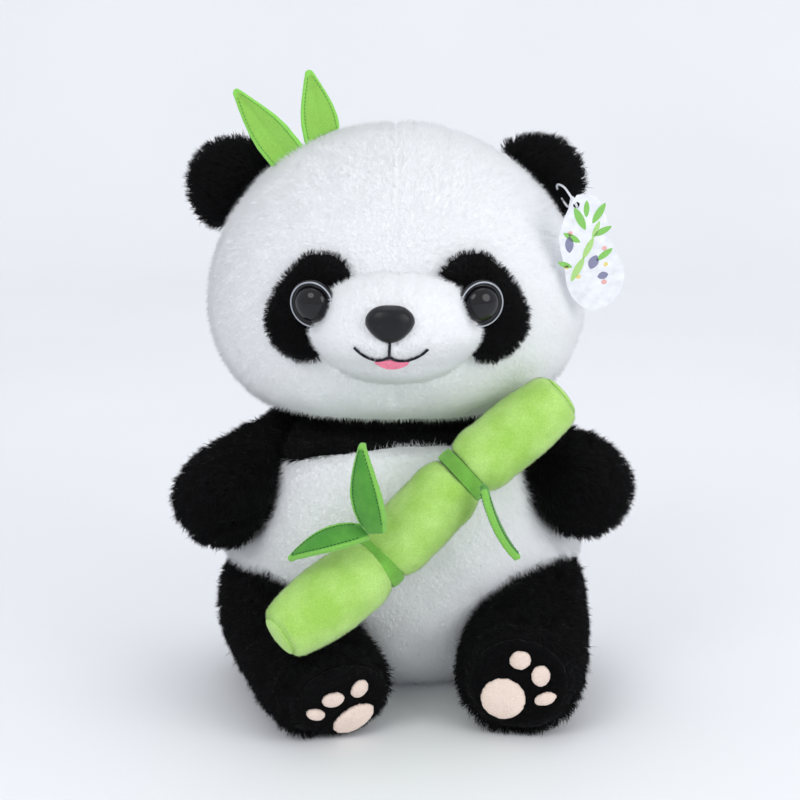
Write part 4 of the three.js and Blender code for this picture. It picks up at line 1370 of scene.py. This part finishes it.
class PANDA_OT_soles(bpy.types.Operator):
    """Sews on the soles, with their short pile and domed velour pads"""

    bl_idname = "panda.soles"
    bl_label = "Soles"

    def execute(self, context):
        shade = colours()
        flat, brushed = opaque(shade.pad, 0.96), opaque(shade.pad, 1.05)
        velour = material("Paw Pad Velour", build_nap, flat, brushed, 0.008, 0.3)
        # The sole pile's second colour is the painted shade down between its locks.
        short = material("Sole Pile", build_pile, opaque(shade.sole), opaque(shade.sole, 0.5), 0.05)
        for number, side in enumerate(SIDES):
            body = f"leg_{side}"
            sole = blank(f"sole_plush_{side}", (f"sole_{side}",), MM, relaxed=3)
            tufts(sole, 0.2 * MM, 1.6 * MM, 100 + number)
            _, axis = flat_frame(f"sole_{side}", (0, -1, 0))
            covers = [(node_tree(f"{pad}_{side}"), 0.4 * MM) for pad in PADS]
            locks = pile(
                f"sole_pile_{side}",
                sole,
                {"density": 3.0, "length": 2.2 * MM, "lean": 0.8, "stray": 0.3, "thick": 0.85, "pull": 0.3,
                 "mix": (0.55, 0.37, 0.08)},
                black_locks(),
                seed=102 + number,
                comb=lambda roots, normals: np.array([[0, 0, -0.9]]),
                keep=lambda roots, normals, out=np.array(axis): normals @ out > 0.1,
                covers=covers,
            )
            finish(sole, short, "sole_fabric", body, f"sole_{side}")
            finish_pile(locks, "sole_fabric", body)
            for pad in PADS:
                node_name = f"{pad}_{side}"
                domed = blank(f"velour_{node_name}", (node_name,), 0.6 * MM, relaxed=6)
                swell(domed, 0.45 * MM)
                places = points_of(domed.data)
                centre, out = flat_frame(node_name, (0, -1, 0))
                height, away = from_axis(places, centre, out)
                crown = np.clip(1 - (away / away.max()) ** 2, 0, 1)
                lift = 1.1 * MM * crown * (height > 0)
                put_points(domed.data, places + lift[:, None] * np.array(out))
                relax(domed.data, 2)
                tufts(domed, 0.12 * MM, 1.2 * MM, 110 + number)
                finish(domed, velour, "pad_fabric", body, node_name, fill=0.3)
        return {"FINISHED"}


# ---------- Bamboo ----------
def segment_ends(node_name):
    """The two ends of a segment's long axis."""
    places = points_of(frame["nodes"][node_name].data)
    middle = places.mean(0)
    axis = np.linalg.eigh(np.cov((places - middle).T))[1][:, 2]
    along = (places - middle) @ axis
    return middle + axis * along.min(), middle + axis * along.max()


class PANDA_OT_stalk(bpy.types.Operator):
    """Stuffs the three segments of the bamboo stalk, with a round cap sewn on at each end"""

    bl_idname = "panda.stalk"
    bl_label = "Bamboo Stalk"

    def execute(self, context):
        nap = fleece()
        caps = {STALK_SEGMENTS[0]: STALK_CAPS[0], STALK_SEGMENTS[2]: STALK_CAPS[1]}
        for number, node_name in enumerate(STALK_SEGMENTS):
            cap = caps.get(node_name)
            nodes = (node_name, cap) if cap else (node_name,)
            segment = blank(f"plush_{node_name}", nodes, 2 * MM, hull=True, relaxed=2)
            swell(segment, -0.2 * MM)
            ends = segment_ends(node_name)
            if cap:
                corner = np.array(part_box(cap)[0])
                ends = sorted(ends, key=lambda end: -np.linalg.norm(end - corner))
            low, high = ends
            along = unit(high - low)
            reached, radius = from_axis(points_of(segment.data), low, along)
            end, wide = reached.max(), radius[reached > reached.max() - 3 * MM].max()
            sewn = reached > end - SEAM_HALF
            if cap:
                sewn &= radius > wide - SEAM_HALF
            sewn |= reached < SEAM_HALF
            stuff(segment, sewn, 2 * MM)
            finer(segment)
            reached, _ = from_axis(points_of(segment.data), low, along)
            shoulders = np.sin(math.pi * np.clip((reached - MM) / (14 * MM), 0, 1))
            if not cap:
                shoulders += np.sin(math.pi * np.clip((end - MM - reached) / (14 * MM), 0, 1))
            swell(segment, 1.1 * MM * shoulders + 0.3 * MM)
            tufts(segment, 0.25 * MM, 9 * MM, 120 + number)
            if cap:
                reached, radius = from_axis(points_of(segment.data), low, along)
                on_cap = (reached > end - 4 * MM) & (radius < wide - 1.6 * MM)
                rim = np.abs(radius - (wide - 1.4 * MM)) + (reached < end - 4 * MM)
                disc = shell(f"plush_{cap}", segment, on_cap, 0.1 * MM, 0.5 * MM)
                sink(segment, rim, 0.7 * MM, 0.8 * MM)
                finish(disc, nap, "bamboo_fleece", "torso", cap, fill=0.6)
            fuzz = pile(
                f"fuzz_{node_name}",
                segment,
                {"density": 3.0, "length": 0.9 * MM, "lean": 0.6, "stray": 0.5, "thick": 0.45, "pull": 0.2},
                [nap],
                seed=126 + number,
                covers=[(arm_outline(s), -2 * MM) for s in SIDES],
            )
            extra = ("stalk_stuffing",) if node_name == STALK_SEGMENTS[1] else ()
            finish(segment, nap, "bamboo_fleece", "torso", node_name, *extra, fill=0.85)
            finish_pile(fuzz, "bamboo_fleece", "torso", airy=True)
        return {"FINISHED"}


class PANDA_OT_bands(bpy.types.Operator):
    """Ties the ribbed ribbons round the stalk"""

    bl_idname = "panda.bands"
    bl_label = "Stalk Bands"

    def execute(self, context):
        shade = colours().band
        ribbon = material("Band Ribbon", build_nap, opaque(shade, 0.85), opaque(shade, 1.12), 0.01, 0.2)
        for name in ("stalk_band_lower", "stalk_band_upper"):
            places = points_of(frame["nodes"][name].data)
            middle, axis = flat_frame(name, (1, 0, 0))
            height, radial = from_axis(places, middle, axis)
            half, outer, inner = np.abs(height).max(), radial.max(), radial.min()
            ribs, profile = 9, []
            for k in range(4 * ribs + 1):
                t = -1 + 2 * k / (4 * ribs)
                crown = 0.5 * MM * (1 - t * t)
                rib = 0.13 * MM * (0.5 + 0.5 * math.cos(math.tau * ribs * (t + 1) / 2))
                profile.append((outer - 2.4 * MM + crown - rib, t * 0.85 * half))
            profile += [(inner - 2.5 * MM, 0.85 * half), (inner - 2.5 * MM, -0.85 * half)]
            band = turned(f"ribbon_{name}", profile, frame_matrix(middle, axis), 96)
            finish(band, ribbon, "band_ribbon", "torso", name)
        return {"FINISHED"}


LEAF_STITCH = 1.9 * MM  # how long a stitch is with its gap, and how far inside the leaf's edge it lies


def stitched(surface, spots, out):
    """Stitches between spots, which fall onto the surface from the side that out points to."""
    hits = [surface.ray_cast(Vector(spot + out * 20 * MM), Vector(-out)) for spot in spots]
    stitches = []
    for a, b in zip(hits, hits[1:]):
        if a[0] is not None and b[0] is not None and (a[0] - b[0]).length < 3 * MM:
            stitches.append((a[0].lerp(b[0], 0.1), a[0].lerp(b[0], 0.86), a[1]))
    return stitches


class PANDA_OT_leaves(bpy.types.Operator):
    """Cuts the leaves from two layers of velour and sews them together along their edges"""

    bl_idname = "panda.leaves"
    bl_label = "Leaves"

    def execute(self, context):
        shade = colours()

        def velour(name, face, rim):
            return material(f"{name} Velour", build_felt, opaque(face), rim)

        def thread(name, made_of):
            return material(f"{name} Thread", build_nap, opaque(made_of), opaque(made_of, 1.5), 0.002, 0.1)

        on_stalk = velour("Stalk Leaf", shade.leaf, opaque(shade.leaf_rim))
        on_head = velour("Head Leaf", shade.head_leaf, opaque(shade.leaf_rim, 1.25))
        dark, pale = thread("Leaf", shade.thread), thread("Head Leaf", shade.leaf)
        for name in (*STALK_LEAVES, *HEAD_LEAVES):
            on_top = name in HEAD_LEAVES
            slot = "head_leaf_felt" if on_top else "leaf_felt"
            hinge = joint(f"{name}_bend")
            root, wide = np.array(hinge["pos_m"]), unit(np.array(hinge["axis"]))
            leaf = blank(f"velour_{name}", (name,), 0.6 * MM, relaxed=4)
            swell(leaf, 0.5 * MM if on_top else 0.35 * MM)
            places = points_of(leaf.data)
            tip = places[np.argmax(np.linalg.norm(places - root, axis=1))]
            along = unit(tip - root)
            long = np.linalg.norm(tip - root)
            if on_top:
                at_root = np.clip(1 - (places - root) @ along / (0.4 * long), 0, 1)
                places -= at_root[:, None] * along * 9 * MM
                put_points(leaf.data, places)
            # t runs along the leaf from 0 at its root to 1 at its tip, and w runs across it in metres.
            t = (places - root) @ along / long
            w = (places - root) @ wide
            near = {s: np.abs(t - s) < 0.03 for s in np.linspace(0, 1, 41)}
            steps = [s for s in near if near[s].any()]
            half = np.array([np.abs(w[near[s]]).max() for s in steps])
            edge = np.interp(t, steps, half) - np.abs(w)
            edge = np.minimum(edge, (1 - t) * long * 0.6)
            out = np.cross(along, wide)
            heights = (places - root) @ out
            off_middle = heights - np.interp(t, steps, [heights[near[s]].mean() for s in steps])
            sink(leaf, np.where(edge < MM, off_middle, 1), 0.35 * MM, 0.4 * MM)
            vein = np.abs(w) + (t > 0.85)
            sink(leaf, vein, 0.3 * MM, 0.8 * MM)
            rim = np.clip((1.7 * MM - edge) / (0.5 * MM), 0, 1)
            values = leaf.data.attributes.new("rim", "FLOAT", "POINT")
            values.data.foreach_set("value", rim.astype(np.float32))
            finish(leaf, on_head if on_top else on_stalk, slot, name, name)

            surface = tree_of(leaf)
            stitches = []
            shares = np.linspace(0.1, 0.93, int(long / LEAF_STITCH) + 1)
            inset = np.maximum(0, np.interp(shares, steps, half) - LEAF_STITCH)
            for way in (1, -1):
                spots = [root + along * long * s + wide * way * off for s, off in zip(shares, inset)]
                stitches += stitched(surface, spots, out) + stitched(surface, spots, -out)
            sewn = thread_run(f"stitches_{name}", stitches, 0.2 * MM)
            finish(sewn, pale if on_top else dark, slot, name)
        return {"FINISHED"}


# ---------- Tag and hidden fittings ----------
# What is printed on the tag: a name, an ink, and leaf shapes. Each has a place across and up from the
# middle in millimetres, a turn in degrees, a length and a width.
TAG_PRINTS = (
    ("leaves", "#8fce6b", [(-1, 6, 118, 12, 3.6), (2, 9, 62, 11, 3.4), (3, 3, 30, 9, 3), (-3, 0, 150, 9, 3),
                           (5, -9, 40, 9, 3), (-6, -12, 160, 7, 2.6), (-1, 12, 92, 8, 2.6)]),
    ("stem", "#b5e08c", [(-6, -19, 66, 13, 3.4), (-1.2, -8, 68, 11, 3), (2.4, 1.5, 72, 9, 2.4)]),
    ("pebbles", "#8f90ad", [(2.5, -13, 70, 7, 4.6), (-7.5, -5, 95, 8, 3.8), (6, -17, 15, 5, 3.6)]),
    ("petals", "#f2b8b4", [(8, -20, 20, 2.6, 2.4), (-8, 3, 80, 2.6, 2.2), (7.5, -4, 50, 2.4, 2.2)]),
    ("buds", "#f3e08d", [(-4, -17, 10, 2.4, 2), (9, -12, 70, 2.4, 2), (-9, -13, 60, 2.2, 2)]),
)


def printed(name, shapes, place):
    """A thin closed print of leaf shapes. Place gives where a point is, from its place on the tag."""
    vertices, faces, corners = [], [], 24
    for x, y, turn, long, wide in shapes:
        base = len(vertices)
        turned_by = math.radians(turn)
        for height in (0.02 * MM, 0.1 * MM):
            for k in range(corners):
                a = math.tau * k / corners
                p = long / 2 * (1 + math.cos(a))
                q = wide / 2 * math.sin(a) * abs(math.sin(a)) ** 0.5
                u = x + p * math.cos(turned_by) - q * math.sin(turned_by)
                v = y + p * math.sin(turned_by) + q * math.cos(turned_by)
                vertices.append(place(u, v, height))
        ring = range(corners)
        faces.append(tuple(base + k for k in reversed(ring)))
        faces.append(tuple(base + corners + k for k in ring))
        for k in ring:
            low, after = base + k, base + (k + 1) % corners
            faces.append((low, after, after + corners, low + corners))
    return closed_piece(name, vertices, faces, smooth=False)


class PANDA_OT_tag(bpy.types.Operator):
    """Prints the card tag with a sprig of leaves and gives its loop a plastic finish"""

    bl_idname = "panda.tag"
    bl_label = "Hang Tag"

    def execute(self, context):
        shade = colours()
        card = frame["nodes"]["hang_tag"]
        board = material("Tag Card", build_moulded, opaque(shade.card), 0.5, 0.1, 0.1)
        clear = material("Loop Plastic", build_moulded, opaque(shade.card, 0.95), 0.25, 0.1, 0.2)
        coat(card, board)
        coat(frame["nodes"]["tag_loop"], clear)
        middle, out = flat_frame("hang_tag", (0, -1, 0))
        places = points_of(card.data)
        up = (Vector((0, 0, 1)) - out * out.z).normalized()
        across = out.cross(up) * -1
        front = max((Vector(p) - middle).dot(out) for p in places)

        def on_card(across_by, up_by, height):
            return middle + across * across_by * MM + up * up_by * MM + out * (front + height)

        for name, code, shapes in TAG_PRINTS:
            name = f"tag_print_{name}"
            paint = material(f"{name} ink", build_felt, opaque(linear(code)), opaque(linear(code), 1.12))
            finish(printed(name, shapes, on_card), paint, "tag_card", "hang_tag")
        return {"FINISHED"}


class PANDA_OT_fittings(bpy.types.Operator):
    """Gives the hidden washers of the eyes and the nose their plastic finish"""

    bl_idname = "panda.fittings"
    bl_label = "Hidden Fittings"

    def execute(self, context):
        washer = material("Washer Plastic", build_moulded, opaque(linear("#d6d6d0")), 0.35, 0.15, 0.0)
        for name in ("nose_washer", "eye_washer_left", "eye_washer_right"):
            coat(frame["nodes"][name], washer)
        return {"FINISHED"}


# ---------- Stage ----------
def lamp(name, place, size, watts):
    """A round soft lamp that shines on the middle of the panda."""
    light = bpy.data.lights.new(name, "AREA")
    light.shape = "DISK"
    light.size = size
    light.energy = watts
    made = link(name, light)
    made.location = place
    made.rotation_euler = (Vector((0, 0, 0.12)) - Vector(place)).to_track_quat("-Z", "Y").to_euler()


class PANDA_OT_stage(bpy.types.Operator):
    """Sets the camera, the pale floor and the soft studio light"""

    bl_idname = "panda.stage"
    bl_label = "Stage"

    def execute(self, context):
        target = Vector((0.002, 0, 0.1317))
        tilt, away = math.radians(15), 0.95
        lens = bpy.data.cameras.new("camera")
        lens.lens = 89.06
        lens.sensor_width = 36
        lens.clip_end = 20
        camera = link("camera", lens)
        camera.location = target + Vector((0, -math.cos(tilt), math.sin(tilt))) * away
        camera.rotation_euler = (target - camera.location).to_track_quat("-Z", "Y").to_euler()
        context.scene.camera = camera

        near, back, curve, top = -9.0, 0.9, 0.5, 2.4
        profile = [(near, 0.0), (back, 0.0)]
        for a in np.linspace(0.1, math.pi / 2, 12):
            profile.append((back + curve * math.sin(a), curve - curve * math.cos(a)))
        profile.append((back + curve, top))
        vertices = [(x, y, z) for x in (-6, 6) for y, z in profile]
        count = len(profile)
        faces = [(k, k + count, k + count + 1, k + 1) for k in range(count - 1)]
        floor = link("floor", mesh_of("floor", vertices, faces))
        floor.data.materials.append(material("Pale Floor", build_floor))

        lamp("key_light", (-0.9, -1.3, 1.5), 1.1, 8)
        lamp("fill_light", (1.3, -1.1, 0.9), 1.2, 9)
        lamp("top_light", (0.1, 0.4, 1.7), 1.2, 2.5)
        world = bpy.data.worlds.new("soft_room")
        world.use_nodes = True
        sky = world.node_tree.nodes["Background"].inputs
        feed(world.node_tree, sky, {"Color": (0.93, 0.95, 1.0, 1), "Strength": 0.8})
        context.scene.world = world
        context.scene.view_settings.view_transform = "Standard"
        return {"FINISHED"}


# ---------- Panel and main ----------
OPERATORS = (
    PANDA_OT_stage,
    PANDA_OT_head,
    PANDA_OT_muzzle,
    PANDA_OT_eye_patches,
    PANDA_OT_eyes,
    PANDA_OT_nose,
    PANDA_OT_mouth,
    PANDA_OT_ears,
    PANDA_OT_torso,
    PANDA_OT_tail,
    PANDA_OT_arms,
    PANDA_OT_legs,
    PANDA_OT_soles,
    PANDA_OT_stalk,
    PANDA_OT_bands,
    PANDA_OT_leaves,
    PANDA_OT_tag,
    PANDA_OT_fittings,
)


class PANDA_PT_sidebar(bpy.types.Panel):
    """Lists the panda's pieces, colours and sizes"""

    bl_idname = "PANDA_PT_sidebar"
    bl_label = "Plush Panda"
    bl_space_type = "VIEW_3D"
    bl_region_type = "UI"
    bl_category = "Plush"

    def draw(self, context):
        column = self.layout.column()
        for operator in OPERATORS:
            column.operator(operator.bl_idname)
        for group in (context.scene.panda_colours, context.scene.panda_sizes):
            for name in group.__annotations__:
                column.prop(group, name)


CLASSES = (PandaColours, PandaSizes, *OPERATORS, PANDA_PT_sidebar)


def register():
    for cls in CLASSES:
        bpy.utils.register_class(cls)
    bpy.types.Scene.panda_colours = bpy.props.PointerProperty(type=PandaColours)
    bpy.types.Scene.panda_sizes = bpy.props.PointerProperty(type=PandaSizes)


def unregister():
    del bpy.types.Scene.panda_sizes
    del bpy.types.Scene.panda_colours
    for cls in reversed(CLASSES):
        bpy.utils.unregister_class(cls)


def main():
    register()
    for operator in OPERATORS:
        group, name = operator.bl_idname.split(".")
        getattr(getattr(bpy.ops, group), name)()


if __name__ == "__main__":
    main()
